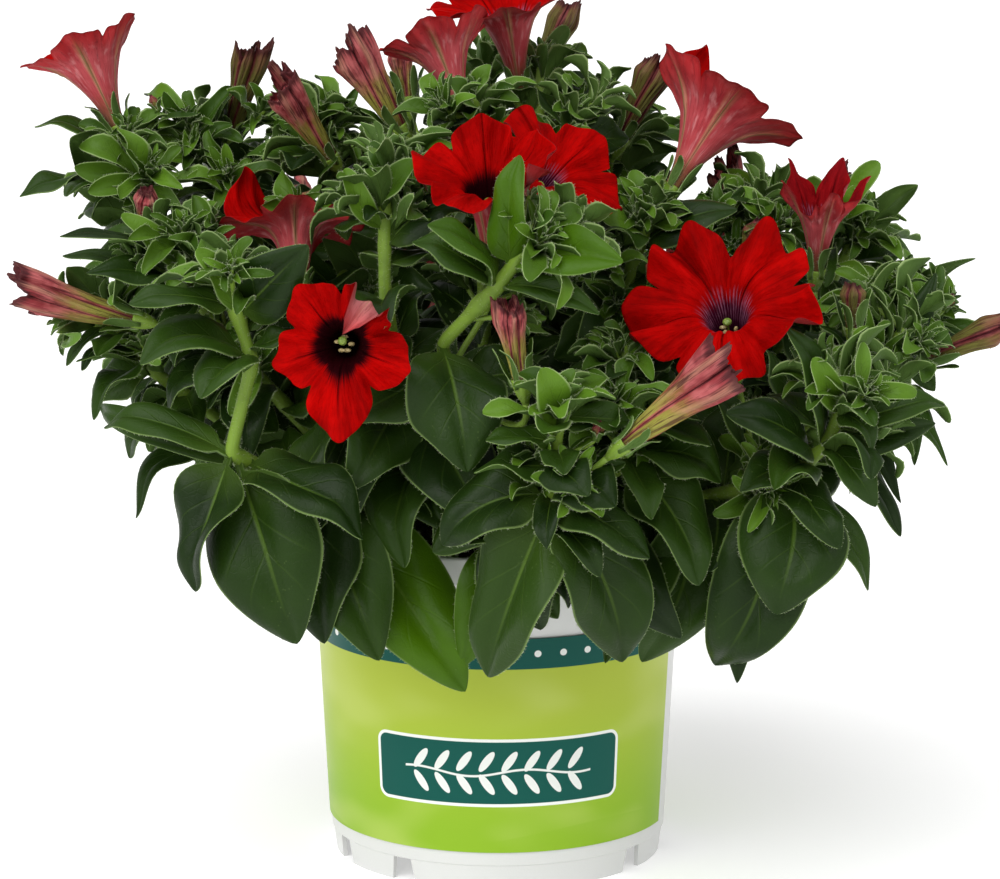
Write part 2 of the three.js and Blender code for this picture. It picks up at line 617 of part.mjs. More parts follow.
// A closed flower: five pleats on a slim body that swells towards its end.
function closedSolid(bud) {
  const tip = vec(...bud.tip);
  const frame = flowerFrame(vec(...bud.base), tip);
  const length = tip.distanceTo(frame.base);
  const w = bud.width / 2;
  const ring = (h, radius, pleat) =>
    Array.from({ length: 10 }, (_, j) => {
      const out = j % 2 ? -1 : 1;
      const twist = (0.9 * h) / length;
      return place(frame, (2 * PI * j) / 10 + twist, radius * (1 + out * pleat), h + out * pleat * w);
    });
  return loft([
    [place(frame, 0, 0, -nest.apex)],
    ring(nest.rim, nest.radius * 0.95, 0),
    ring(length * 0.6, max(nest.radius, w * 0.72), 0.12),
    ring(length * 0.9, w, 0.16 + 0.06 * bud.open),
    [place(frame, 0, 0, length * (1 - 0.16 * bud.open))],
  ]);
}

// ---------- assembly ----------
const looks = {
  pot: { color: 0xf2f3f0, roughness: 0.35, metalness: 0 },
  label: { color: 0xb9cf3c, roughness: 0.3, metalness: 0 },
  soil: { color: 0x2b211a, roughness: 1, metalness: 0 },
  leaf: { color: 0x3c6a34, roughness: 0.6, metalness: 0 },
  petal: { color: 0xd8160f, roughness: 0.5, metalness: 0 },
  wilted: { color: 0x9a5a4c, roughness: 0.7, metalness: 0 },
};
const group = new THREE.Group();

function show(name, solid, look) {
  const mesh = new THREE.Mesh(geometryFrom(solid), new THREE.MeshStandardMaterial(looks[look]));
  mesh.name = name;
  group.add(mesh);
}

// What has been placed so far; a leaf keeps clear of all of it, and beyond its foot of its own shoot.
const placed = [];
const boxOf = (solid) => {
  const b = solid.boundingBox();
  return new THREE.Box3(vec(...b.min), vec(...b.max)).expandByScalar(clearance);
};
const put = (owner, solid) => placed.push({ owner, solid, box: boxOf(solid) });
const isClear = (solid, others) => {
  const box = boxOf(solid);
  return others.every(
    (o) => !o.box.intersectsBox(box) || solid.minGap(o.solid, clearance) > clearance * 0.99,
  );
};

const numbered = (name, i) => `${name}_${String(i + 1).padStart(2, "0")}`;
const potSolid = makePot();
const labelSolid = makeLabel();
const soilSolid = makeSoil();
for (const solid of [potSolid, labelSolid, soilSolid]) put("pot", solid);
show("pot", potSolid, "pot");
show("label_wrap", labelSolid, "label");
show("potting_soil", soilSolid, "soil");

const blooms = [...flowers, ...closed];
blooms.forEach((bloom, i) => {
  const isOpen = i < flowers.length;
  const solid = isOpen ? flowerSolid(bloom) : closedSolid(bloom);
  const name = isOpen ? numbered("flower", i) : numbered("closed_flower", i - flowers.length);
  put(name, solid);
  show(name, solid, isOpen ? "petal" : "wilted");
});

const paths = shoots.map(stemPath);
const parts = shoots.map((shoot, i) => {
  const name = numbered("leafy_shoot", i);
  const radii = [stem.baseRadius, stem.tipRadius];
  const side = vec(-shoot.tip[1], shoot.tip[0], 0).normalize();
  const solids = [tube(paths[i], radii, stem.sides, side)];
  for (const bloom of blooms.filter((b) => b.on === i)) {
    const frame = flowerFrame(vec(...bloom.base), vec(...(bloom.mouth ?? bloom.tip)));
    solids.push(stalkSolid(stemAt(paths[i], bloom.at), frame));
  }
  for (const solid of solids) put(name, solid);
  return { name, solids };
});

// A leaf takes the first of the tries that is clear, and isn't grown where none is.
function growLeaf({ name, solids }, leaf) {
  for (const attempt of tries) {
    const pose = moved(leaf, attempt);
    const whole = leafSolid(pose);
    const mine = placed.filter((o) => o.owner === name);
    const others = placed.filter((o) => o.owner !== name);
    if (!isClear(whole, others) || !isClear(leafSolid(pose, 0.24), mine)) continue;
    solids.push(whole);
    put(name, whole);
    return;
  }
}

const foliage = shoots.map((shoot, i) => leavesOf(shoot, paths[i], i));
for (const small of [false, true]) {
  parts.forEach((part, i) => {
    for (const leaf of foliage[i].filter((l) => l.small === small)) growLeaf(part, leaf);
  });
}
for (const { name, solids } of parts) show(name, wasm.Manifold.union(solids), "leaf");

export default group;
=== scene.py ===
import json
from math import cos, hypot, pi, radians, sin, sqrt

import bpy
import numpy as np
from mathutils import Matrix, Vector
from mathutils.kdtree import KDTree


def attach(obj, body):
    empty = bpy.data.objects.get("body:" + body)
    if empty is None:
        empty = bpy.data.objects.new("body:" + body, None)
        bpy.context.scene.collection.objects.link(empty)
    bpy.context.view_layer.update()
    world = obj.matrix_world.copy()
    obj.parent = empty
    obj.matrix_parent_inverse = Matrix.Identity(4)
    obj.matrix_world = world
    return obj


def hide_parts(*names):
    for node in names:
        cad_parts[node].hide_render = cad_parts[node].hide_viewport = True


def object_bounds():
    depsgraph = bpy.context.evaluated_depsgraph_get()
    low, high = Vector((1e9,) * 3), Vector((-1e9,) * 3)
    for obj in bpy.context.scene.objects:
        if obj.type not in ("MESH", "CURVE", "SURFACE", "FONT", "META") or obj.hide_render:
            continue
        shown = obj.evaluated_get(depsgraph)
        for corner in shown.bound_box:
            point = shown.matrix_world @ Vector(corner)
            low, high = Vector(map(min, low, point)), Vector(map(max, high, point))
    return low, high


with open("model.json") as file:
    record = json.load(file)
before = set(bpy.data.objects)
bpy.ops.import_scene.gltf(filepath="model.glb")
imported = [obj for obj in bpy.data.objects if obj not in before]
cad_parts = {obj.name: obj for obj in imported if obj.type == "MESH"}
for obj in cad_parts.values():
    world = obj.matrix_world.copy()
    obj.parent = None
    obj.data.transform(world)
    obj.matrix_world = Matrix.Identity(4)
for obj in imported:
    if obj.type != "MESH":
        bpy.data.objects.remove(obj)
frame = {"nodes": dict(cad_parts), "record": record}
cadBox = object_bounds()
mm = 0.001  # the tables below are in millimetres, Blender's scene is in metres
record = frame["record"]
print("loaded", len(frame["nodes"]), "solids for", record["type"])

# vectors and random draws


def vec(*values):
    return np.array(values, float)


def unit(v):
    return v / np.linalg.norm(v)


def units(v, least=1e-9):  # each row at length 1
    return v / (np.linalg.norm(v, axis=1)[:, None] + least)


def square(v, axis):  # the part of v that stands at right angles to axis, at length 1
    return unit(v - axis * np.dot(v, axis))


def mix(a, b, k):
    return a + (b - a) * k


def smooth(k):  # 0 to 1, eased at both ends
    k = np.clip(k, 0, 1)
    return k * k * (3 - 2 * k)


def circle(count):  # bearings all the way round
    return 2 * pi * np.arange(count) / count


def waves(rng, counts, low, a, power=0):  # uneven waves round a ring, each with its own height and start
    return sum(rng.uniform(low, 1) * np.sin(k * a + rng.uniform(0, 6.28)) / k**power for k in counts)


up = vec(0, 0, 1)
front = vec(0, -1, 0)


def drawn(rng, ranges):  # a draw from each named range
    return {name: rng.uniform(*ends) for name, ends in ranges.items()}


def outward(p):
    return unit(vec(p[0], p[1], 0))


def seeded(seed):  # the same draws as the solids' own, so that each leaf is found again
    state = seed & 0xFFFFFFFF

    def draw():
        nonlocal state
        state = (state + 0x6D2B79F5) & 0xFFFFFFFF
        t = ((state ^ (state >> 15)) * (state | 1)) & 0xFFFFFFFF
        t ^= (t + ((t ^ (t >> 7)) * (t | 61))) & 0xFFFFFFFF
        return (t ^ (t >> 14)) / 4294967296

    return draw


# shader expressions


class Wire:  # a number that runs through a material's nodes
    def __init__(self, paint, socket):
        self.paint, self.socket = paint, socket

    def math(self, kind, *values):
        made = self.paint.node("Math", {"operation": kind}, dict(enumerate(values)))
        return Wire(self.paint, made.outputs[0])

    def __rsub__(self, other):
        return self.math("SUBTRACT", other, self)

    def step(self, low, high):  # 0 below low, 1 above high, eased between; low may be the larger
        inputs = {"Value": self, "From Min": low, "From Max": high}
        made = self.paint.node("MapRange", {"interpolation_type": "SMOOTHSTEP"}, inputs)
        return Wire(self.paint, made.outputs[0])


sums = dict(  # what Wire can do, and the node's own word for it
    __add__="ADD", __radd__="ADD", __sub__="SUBTRACT", __mul__="MULTIPLY", __rmul__="MULTIPLY",
    __truediv__="DIVIDE", __pow__="POWER", __abs__="ABSOLUTE", sine="SINE", fraction="FRACT",
    atLeast="MAXIMUM")
for name, kind in sums.items():
    setattr(Wire, name, lambda self, *other, kind=kind: self.math(kind, self, *other))


class Paint:  # one material and its nodes, painted layer by layer with the colours of a table
    def __init__(self, name, colours=None, **fixed):
        self.material = bpy.data.materials.new(name)
        self.material.use_nodes = True
        self.tree = self.material.node_tree
        self.shader = self.tree.nodes["Principled BSDF"]
        self.colours, self.colour = colours, None
        for key, value in fixed.items():
            self.shader.inputs[key.replace("_", " ")].default_value = value

    def node(self, kind, settings=None, inputs=None):
        made = self.tree.nodes.new("ShaderNode" + kind)
        for key, value in (settings or {}).items():
            setattr(made, key, value)
        for key, value in (inputs or {}).items():
            if isinstance(value, Wire):
                self.tree.links.new(value.socket, made.inputs[key])
            else:
                made.inputs[key].default_value = value
        return made

    def spread(self):  # the three growth values that every mesh carries
        made = self.node("Attribute", {"attribute_name": "growth"})
        parts = self.node("SeparateXYZ", None, {0: Wire(self, made.outputs["Vector"])})
        return [Wire(self, out) for out in parts.outputs]

    def place(self, *scales):  # the place in the part, in metres, stretched along each axis
        made = self.node("TexCoord")
        if not scales:
            return Wire(self, made.outputs["Object"])
        inputs = {"Vector": Wire(self, made.outputs["Object"]), "Scale": scales}
        return Wire(self, self.node("Mapping", None, inputs).outputs[0])

    def join(self, x, y, z=0.0):
        return Wire(self, self.node("CombineXYZ", None, {0: x, 1: y, 2: z}).outputs[0])

    def noise(self, where, scale, detail=3.0, rough=0.55):
        inputs = {"Vector": where, "Scale": scale, "Detail": detail, "Roughness": rough}
        return Wire(self, self.node("TexNoise", None, inputs).outputs["Fac"])

    # noise that is drawn out along the growth
    def streaks(self, along, around, tint, stretch, scale=2.0, detail=3.0):
        where = self.join(around * stretch[0], along * stretch[1], tint * stretch[2])
        return self.noise(where, scale, detail)

    def cells(self, where, scale, feature="F1"):
        made = self.node("TexVoronoi", {"feature": feature}, {"Vector": where, "Scale": scale})
        return Wire(self, made.outputs["Distance"])

    def blend(self, share, *pair):
        pair = [self.colours[c] if isinstance(c, str) else c for c in pair]
        a, b = [c if isinstance(c, Wire) else (*c, 1.0) for c in pair]
        made = self.node("Mix", {"data_type": "RGBA"}, {0: share, 6: a, 7: b})
        return Wire(self, made.outputs[2])

    def coat(self, share, colour, ground=None):  # a layer of the colour, over the ground or the last layer
        self.colour = self.blend(share, ground or self.colour, colour)

    def finish(self, rough=None, bump=None):  # bump holds a height, its depth in metres and its strength
        links = {"Base Color": self.colour, "Roughness": rough}
        if bump:
            inputs = dict(zip(("Height", "Distance", "Strength"), bump))
            links["Normal"] = Wire(self, self.node("Bump", None, inputs).outputs[0])
        for key, value in links.items():
            if value is not None:
                self.tree.links.new(value.socket, self.shader.inputs[key])
        return self.material


# meshes


class Book:  # gathers the points and faces of one piece
    def __init__(self):
        self.points, self.growth, self.corners, self.counts, self.looks = [], [], [], [], []
        self.total = 0

    def add(self, points, faces, look, growth=(0, 0, 0)):
        points = np.asarray(points, float).reshape(-1, 3)
        faces = np.asarray(faces, int)
        self.points.append(points)
        self.growth.append(np.broadcast_to(np.asarray(growth, float), points.shape))
        self.corners.append((faces + self.total).ravel())
        self.counts.append(np.full(len(faces), faces.shape[1]))
        self.looks.append(np.broadcast_to(np.asarray(look), len(faces)))
        self.total += len(points)
        return self.total - len(points)

    def build(self, name, paints, slot, *nodes):
        mesh = bpy.data.meshes.new(name)
        points = np.concatenate(self.points) * mm
        corners, counts = np.concatenate(self.corners), np.concatenate(self.counts)
        mesh.vertices.add(len(points))
        mesh.vertices.foreach_set("co", points.ravel())
        mesh.loops.add(len(corners))
        mesh.loops.foreach_set("vertex_index", corners.astype(np.int32))
        mesh.polygons.add(len(counts))
        mesh.polygons.foreach_set("loop_start", np.concatenate([[0], np.cumsum(counts)[:-1]]))
        for paint in paints:
            mesh.materials.append(paint)
        mesh.polygons.foreach_set("material_index", np.concatenate(self.looks).astype(np.int32))
        mesh.polygons.foreach_set("use_smooth", np.full(len(counts), True))
        growth = mesh.attributes.new("growth", "FLOAT_VECTOR", "POINT")
        growth.data.foreach_set("vector", np.concatenate(self.growth).astype(np.float32).ravel())
        mesh.update()
        mesh.validate()
        piece = bpy.data.objects.new(name, mesh)
        bpy.context.scene.collection.objects.link(piece)
        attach(piece, "root")
        if nodes:
            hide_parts(*nodes)
        return piece


# A skin through rings of points, each turning right-handed about the way the rings follow.
# The looks and the growth values follow the rings, and each end is closed to a point.
def addRings(book, rings, looks, growth, ends):
    rings = np.asarray(rings, float)
    rows, around = rings.shape[:2]
    j = np.arange(around)
    k = (j + 1) % around
    start = np.arange(rows - 1)[:, None] * around
    quads = np.stack([start + j, start + k, start + around + k, start + around + j], -1)
    looks = np.broadcast_to(np.asarray(looks), (rows - 1, around)).ravel()
    first = book.add(rings, quads.reshape(-1, 4), looks, growth.reshape(-1, 3))
    for tip, row in ((ends[0], 0), (ends[1], rows - 1)):
        edge = first + row * around
        value = growth[row].mean(0)
        pole = book.add([tip], np.empty((0, 3)), 0, value)
        pair = (k, j) if row == 0 else (j, k)
        fan = np.stack([pair[0] + edge, pair[1] + edge, np.full(around, pole)], 1)
        book.corners.append(fan.ravel())
        book.counts.append(np.full(around, 3))
        book.looks.append(looks[:around] if row == 0 else looks[-around:])


def tubeRings(path, radii, sides):
    path = np.asarray(path, float)
    ways = units(np.gradient(path, axis=0), 0)
    side = square(vec(1, 0.3, 0.2), ways[0])
    angles = circle(sides)
    rings = []
    for centre, way, radius in zip(path, ways, np.broadcast_to(radii, len(path))):
        side = square(side, way)
        other = np.cross(way, side)
        rings.append(centre + radius * (np.outer(np.cos(angles), side) + np.outer(np.sin(angles), other)))
    return np.array(rings)


def growthRow(along, around, tint):  # the three values that a look reads, for one ring
    return np.stack([np.full_like(around, along), around / (2 * pi), np.full_like(around, tint)], -1)


def addTube(book, path, radii, sides, look, tint):
    rings = tubeRings(path, radii, sides)
    along = np.linspace(0, 1, len(rings))[:, None]
    around = np.arange(sides)[None, :] / sides
    growth = np.stack(np.broadcast_arrays(along, around, tint), -1)
    addRings(book, rings, look, growth, (path[0], path[-1]))
    return rings


class Hairs:  # fine pointed hairs, gathered and then made in one go
    def __init__(self):
        self.roots, self.ways, self.lengths = [], [], []

    def add(self, roots, ways, lengths):
        self.roots.append(roots)
        self.ways.append(ways)
        self.lengths.append(np.broadcast_to(lengths, len(roots)))

    def build(self, name, thick, paint, slot):
        roots, ways = np.concatenate(self.roots), units(np.concatenate(self.ways))
        lengths = np.concatenate(self.lengths)[:, None]
        side = units(np.cross(ways, vec(0.31, 0.52, 0.79)))
        other = np.cross(ways, side)
        foot = roots - 0.1 * ways
        corners = [foot + thick * (cos(a) * side + sin(a) * other) for a in (0, 2 * pi / 3, 4 * pi / 3)]
        points = np.stack([*corners, roots + ways * lengths], 1)
        spike = np.array([[0, 2, 1], [0, 1, 3], [1, 2, 3], [2, 0, 3]])
        faces = (np.arange(len(roots)) * 4)[:, None, None] + spike
        book = Book()
        book.add(points, faces.reshape(-1, 3), 0)
        return book.build(name, [paint], slot)


space = dict(low=(-200, -200, 0), size=(400, 400, 340))  # round the whole plant


class Room:  # which small cubes of the space are taken
    def __init__(self, size):
        self.size, self.low = size, vec(*space["low"])
        self.taken = np.zeros(np.ceil(vec(*space["size"]) / size).astype(int), bool)

    def cubes(self, points):
        at = ((np.asarray(points).reshape(-1, 3) - self.low) / self.size).astype(int)
        return tuple(np.clip(at, 0, np.array(self.taken.shape) - 1).T)

    def take(self, points):
        self.taken[self.cubes(points)] = True

    def isFree(self, points):
        return not self.taken[self.cubes(points)].any()


# the plant, as the solids have it

pot = dict(height=122, footRadius=59.4, seam=8.6, seamRadius=61, collar=112, collarRadius=66.4,
           rimRadius=69, wall=1.6)
notches = dict(count=3, first=50, narrow=7, foot=25, height=7.6, spread=1.2)
drain = dict(count=4, circle=34, radius=4.5)
label = dict(bottom=14, top=92.5, start=100, turn=330, film=0.4, gap=0.3)
soil = dict(top=110, gap=0.3, depth=12)
stem = dict(steps=5, rise=45, ringNear=12, ringFar=54, ringGrow=0.3, lean=0.35, ease=0.4)
calyx = dict(neck=5.5, toothRadius=6, tooth=13)
nest = dict(apex=2, rim=3, radius=2.85)  # the base of a flower, which sits in its calyx
# the leaves that grow by rule: below the small ones of a shoot's tip, and those small ones
lowerLeaves = dict(
    turn=50, share=(0.42, 0.92), length=(50, 26), vary=(0.9, 1.1), width=(0.55, 0.68), splay=(85, 55))
tipLeaves = dict(
    turn=70, share=(0.92, 0.995), length=(24, 15), vary=(0.85, 1.15), width=(0.4, 0.5), splay=(68, 26))
tipCount = 4
leafTurn = 137.5  # degrees from one leaf to the next round a stem
spreadShare = 0.62  # lower leaves keep to the outer side of the shoot

# tip is a shoot's end and via the places its stem passes; its leaves are [share, tip, width]
shoots = [
    dict(tip=(-138, 10, 250), more=3, start=0.66, leaves=[
        (0.96, (-172, 0, 243), 17), (0.98, (-165, 5, 268), 15), (0.92, (-153, -20, 245), 20)]),
    dict(tip=(-114, -60, 234), more=3, leaves=[
        (0.94, (-150, -62, 240), 13), (0.85, (-140, -75, 224), 14)]),
    dict(tip=(-138, -40, 208), more=2, leaves=[
        (0.95, (-152, -45, 226), 12), (0.85, (-146, -55, 190), 14), (0.95, (-150, -38, 183), 9)]),
    dict(tip=(-91, -110, 229), more=1, start=0.7,
         via=[(-48, -58, 134), (-70, -82, 152), (-90, -105, 166), (-82, -108, 198)], leaves=[
        (0.58, (-68, -124, 104), 42), (0.6, (-102, -114, 120), 30), (0.55, (-47, -130, 135), 28),
        (0.34, (-40, -110, 96), 34), (0.22, (-11, -98, 82), 36), (0.6, (-136, -90, 177), 16),
        (0.82, (-99, -127, 190), 24), (0.9, (-62, -127, 240), 24), (0.92, (-122, -122, 222), 14)]),
    dict(tip=(-38, -90, 258), more=2, start=0.7,
         via=[(-19, -46, 138), (-26, -66, 164), (-34, -86, 190), (-38, -98, 222)], leaves=[
        (0.5, (7, -125, 149), 32), (0.52, (-47, -120, 158), 28), (0.36, (-34, -106, 124), 30),
        (0.4, (-52, -106, 146), 24)]),
    dict(tip=(-67, -10, 268), more=4, start=0.6),
    dict(tip=(-8, -40, 280), more=3, start=0.7),
    dict(tip=(27, 0, 271), more=3, start=0.7),
    dict(tip=(14, -130, 247), more=1, start=0.7, ring=38, swing=-8,
         via=[(-5, -52, 140), (-11, -80, 172), (-19, -108, 204), (0, -124, 226)], leaves=[
        (0.6, (-10, -132, 165), 34), (0.86, (40, -150, 238), 22), (0.86, (7, -130, 272), 16),
        (0.8, (-22, -142, 250), 20), (0.8, (33, -142, 220), 12)]),
    dict(tip=(52, -60, 244), more=2, start=0.6, leaves=[
        (0.92, (30, -78, 234), 22), (0.9, (82, -62, 244), 20)]),
    dict(tip=(20, -140, 192), more=0,
         via=[(9, -72, 132), (13, -100, 146), (17, -124, 149), (18, -134, 161)], leaves=[
        (0.7, (-4, -122, 93), 36), (0.72, (43, -124, 96), 34), (0.74, (-20, -130, 140), 26),
        (0.76, (50, -140, 138), 30), (0.3, (-10, -94, 88), 24)]),
    dict(tip=(41, -100, 202), more=1, start=0.6,
         via=[(22, -56, 136), (32, -80, 152), (44, -100, 162), (44, -102, 182)], leaves=[
        (0.6, (68, -127, 127), 28), (0.62, (76, -112, 160), 24), (0.5, (26, -104, 118), 26)]),
    dict(tip=(117, -120, 192), more=0,
         via=[(48, -52, 134), (74, -80, 147), (98, -105, 157), (110, -114, 172)], leaves=[
        (0.6, (91, -130, 117), 38), (0.36, (51, -97, 91), 32), (0.56, (71, -106, 88), 34),
        (0.56, (127, -108, 120), 17), (0.72, (77, -136, 187), 22), (0.76, (92, -127, 213), 20),
        (0.78, (124, -145, 168), 18), (0.84, (150, -110, 187), 18), (0.68, (148, -100, 176), 14)]),
    dict(tip=(140, -70, 203), more=2, leaves=[(0.7, (138, -98, 137), 24), (0.86, (154, -88, 159), 12)]),
    dict(tip=(148, -20, 211), more=5, start=0.5),
    dict(tip=(134, 10, 232), more=5, start=0.5, swing=8),
    dict(tip=(93, -20, 241), more=3, start=0.6),
    dict(tip=(-107, 30, 264), more=3, start=0.6),
    dict(tip=(47, 40, 263), more=3, start=0.7),
    dict(tip=(17, 30, 286), more=3, start=0.7),
    dict(tip=(128, 54, 186), more=5, swing=4),
    dict(tip=(104, 106, 214), more=6),
    dict(tip=(56, 106, 250), more=5, start=0.5),
    dict(tip=(30, 150, 184), more=6),
    dict(tip=(-22, 122, 236), more=6),
    dict(tip=(-68, 136, 200), more=6),
    dict(tip=(-96, 86, 242), more=5, start=0.5),
    dict(tip=(-136, 60, 192), more=5),
    dict(tip=(-4, 72, 284), more=5, start=0.6),
]

# on and at say where the stalk leaves its shoot; bends curls each lobe back or (negative) forward
flowers = [
    dict(on=4, at=0.5, base=(-48, -102, 204), mouth=(-52, -135, 208), tube=25, limb=19, flare=86,
         roll=-36, bends=(-1.9, 0.1, 0.3, 0.2, -0.2), reach=(1.6, 1, 0.95, 1.45, 1.1), crease=0.45,
         point=0.12, torn=1.7, tint=-1),
    dict(on=12, at=0.46, base=(81, -82, 190), mouth=(75.8, -105, 216), tube=28, limb=34, flare=84,
         roll=40, bends=(0.1, 0.2, 0.45, -0.6, 0.3), cut=0.26, point=-0.1, torn=1.3, wavy=1.7),
    dict(on=8, at=0.5, base=(-2, -95, 227), mouth=(-3, -111, 261), tube=29, limb=24, flare=62,
         roll=10, bends=(-0.5, 0.3, 0.5, -0.8, -0.9)),
    dict(on=9, at=0.75, base=(6, -66, 238), mouth=(18, -78, 257), tube=21, limb=24, flare=74,
         roll=0, bends=(0.3, 0.5, -0.3, 0.4, -0.2)),
    dict(on=5, at=0.66, base=(-68, -66, 210), mouth=(-70, -56, 230), tube=22, limb=24, flare=84,
         roll=66, bends=(0.3, 0.2, -2.1, 0.3, 0.3), reach=(1, 1, 1.8, 1, 1.1)),
    dict(on=0, at=0.9, base=(-136, 12, 261), mouth=(-147, 16, 287), tube=26, limb=17, flare=46,
         roll=0, bends=(0.2, 0.1, -0.1, 0.6, 0.1), funnel=31, calm=0.35, point=0.12, torn=1.5),
    dict(on=16, at=0.62, base=(60, -20, 243), mouth=(76, -8, 268), tube=28, limb=25, flare=56,
         roll=59, bends=(0.7, 0.4, 0, -1.45, 0), reach=(1, 1, 1, 1.4, 1), funnel=29, calm=0.35, point=0.1),
    dict(on=19, at=0.8, base=(8, 24, 273), mouth=(4, 20, 300), tube=27, limb=25, flare=66,
         roll=0, bends=(0.2, 0.1, 0.3, -0.2, 0.3), funnel=24, calm=0.5),
    dict(on=6, at=0.86, base=(-12, -14, 270), mouth=(-19, -7, 290), tube=21, limb=18, flare=52,
         roll=20, bends=(0, 0.2, 0.1, 0.3, 0), funnel=26, calm=0.5),
    dict(on=13, at=0.74, base=(111, -40, 217), mouth=(112, -47, 241), tube=22, limb=17, flare=34,
         roll=10, bends=(0, -0.2, 0.1, -0.1, 0.1), cut=0.6, funnel=22, point=0.2, tint=2),
    dict(on=21, at=0.5, base=(72, 98, 174), mouth=(86, 122, 190), tube=28, limb=24, flare=78,
         roll=25, bends=(0.3, 0.1, 0.2, 0.3, 0)),
    dict(on=24, at=0.46, base=(-29, 104, 168), mouth=(-33, 130, 181), tube=27, limb=25, flare=84,
         roll=5, bends=(0.1, 0.2, 0, 0.3, 0.2)),
    dict(on=26, at=0.46, base=(-100, 84, 164), mouth=(-124, 98, 176), tube=28, limb=22, flare=74,
         roll=50, bends=(0.2, 0.2, 0.1, 0.4, 0)),
]

closed = [
    dict(on=17, at=0.86, base=(-97, 22, 258), tip=(-88, 12, 291), width=11, open=1),
    dict(on=5, at=0.88, base=(-58, -28, 256), tip=(-75, -46, 284), width=12, open=1),
    dict(on=6, at=0.72, base=(-33, -38, 267), tip=(-51, -42, 297), width=14, open=1),
    dict(on=18, at=0.86, base=(44, 22, 256), tip=(58, 20, 286), width=12, open=0.6),
    dict(on=10, at=0.5, base=(40, -140, 175), tip=(73, -152, 204), width=16, open=1),
    dict(on=2, at=0.84, base=(-124, -52, 203), tip=(-164, -54, 213), width=15, open=1),
    dict(on=13, at=0.88, base=(146, -58, 189), tip=(174, -62, 203), width=11, open=0.6),
    dict(on=8, at=0.42, base=(8, -132, 194), tip=(3, -134, 221), width=10, open=0.8),
    dict(on=1, at=0.9, base=(-122, -52, 232), tip=(-121, -58, 249), width=8, open=0.4),
    dict(on=6, at=0.9, base=(-32, 22, 270), tip=(-36, 26, 290), width=9, open=0.5),
    dict(on=15, at=0.7, base=(87, 12, 231), tip=(81, 6, 249), width=12, open=1),
    dict(on=12, at=0.88, base=(120, -96, 205), tip=(119, -96, 222), width=8, open=0.4),
    dict(on=21, at=0.86, base=(116, 92, 216), tip=(136, 104, 234), width=12, open=0.8),
    dict(on=25, at=0.86, base=(-68, 122, 208), tip=(-82, 140, 228), width=12, open=0.8),
    dict(on=28, at=0.86, base=(14, 76, 272), tip=(26, 84, 300), width=12, open=0.6),
]

# how a leaf may have given way to a neighbour: turned and lifted in degrees, and its size
tries = [
    (0, 0, 1), (0, 9, 1), (0, -9, 1), (10, 0, 1), (-10, 0, 1), (12, 12, 1), (-12, 12, 1),
    (16, -10, 0.95), (-16, -10, 0.95), (0, 20, 0.9), (0, -20, 0.9), (26, 6, 0.9), (-26, 6, 0.9),
    (22, -20, 0.85), (-22, -20, 0.85), (20, 26, 0.85), (-20, 26, 0.85), (0, 34, 0.8), (38, 0, 0.75),
    (-38, 0, 0.75), (32, 24, 0.7), (-32, 24, 0.7), (0, 10, 0.6), (14, 0, 0.55), (-14, 0, 0.55),
]


def turned(v, axis, degrees):
    a = radians(degrees)
    return v * cos(a) + np.cross(axis, v) * sin(a) + axis * np.dot(axis, v) * (1 - cos(a))


def bezier(p0, p1, p2, p3, count):
    t = np.linspace(0, 1, count)[:, None]
    s = 1 - t
    return p0 * s**3 + 3 * p1 * s * s * t + 3 * p2 * s * t * t + p3 * t**3


def stemPath(shoot):
    tip = vec(*shoot["tip"])
    ring = min(stem["ringFar"], stem["ringNear"] + stem["ringGrow"] * hypot(tip[0], tip[1]))
    root = turned(outward(tip) * shoot.get("ring", ring), up, shoot.get("swing", 0))
    root[2] = soil["top"] - soil["depth"] + soil["gap"]
    foot = vec(root[0], root[1], soil["top"] + 1)
    if "via" in shoot:
        return [root, foot, *(vec(*p) for p in shoot["via"]), tip]
    p2 = tip - stem["ease"] * np.linalg.norm(tip - foot) * unit(up + stem["lean"] * outward(tip))
    return [root, *bezier(foot, foot + stem["rise"] * up, p2, tip, stem["steps"] + 1)]


def stemAt(path, share):
    k = min(stem["steps"] - 1, int(share * stem["steps"]))
    a, b = path[k + 1], path[k + 2]
    return a + (b - a) * (share * stem["steps"] - k), unit(b - a)


def leafFrame(leaf):
    d = leaf["tip"] - leaf["root"]
    span = np.linalg.norm(d)
    d = d / span
    n = square(leaf["face"], d)
    return span, d, n, np.cross(d, n)


def moved(leaf, attempt):
    turn, lift, size = attempt
    span, d, n, side = leafFrame(leaf)
    flat = d * cos(radians(turn)) + side * sin(radians(turn))
    chord = flat * cos(radians(lift)) + n * sin(radians(lift))
    return {**leaf, "tip": leaf["root"] + chord * span * size, "width": leaf["width"] * size}


def leafFacing(root, small, swing):
    out = outward(root if small else root + front * 70)
    return up + 0.7 * out + np.cross(out, up) * swing


def leafAlong(shoot, path, share, bearing, splay, length, droop):
    point, axis = stemAt(path, share)
    side = square(vec(-shoot["tip"][1], shoot["tip"][0], 0), axis)
    out = np.cross(side, axis)
    away = out * cos(bearing) + side * sin(bearing)
    d = unit(axis * cos(splay) + away * sin(splay) - droop * up)
    return point, point + d * length


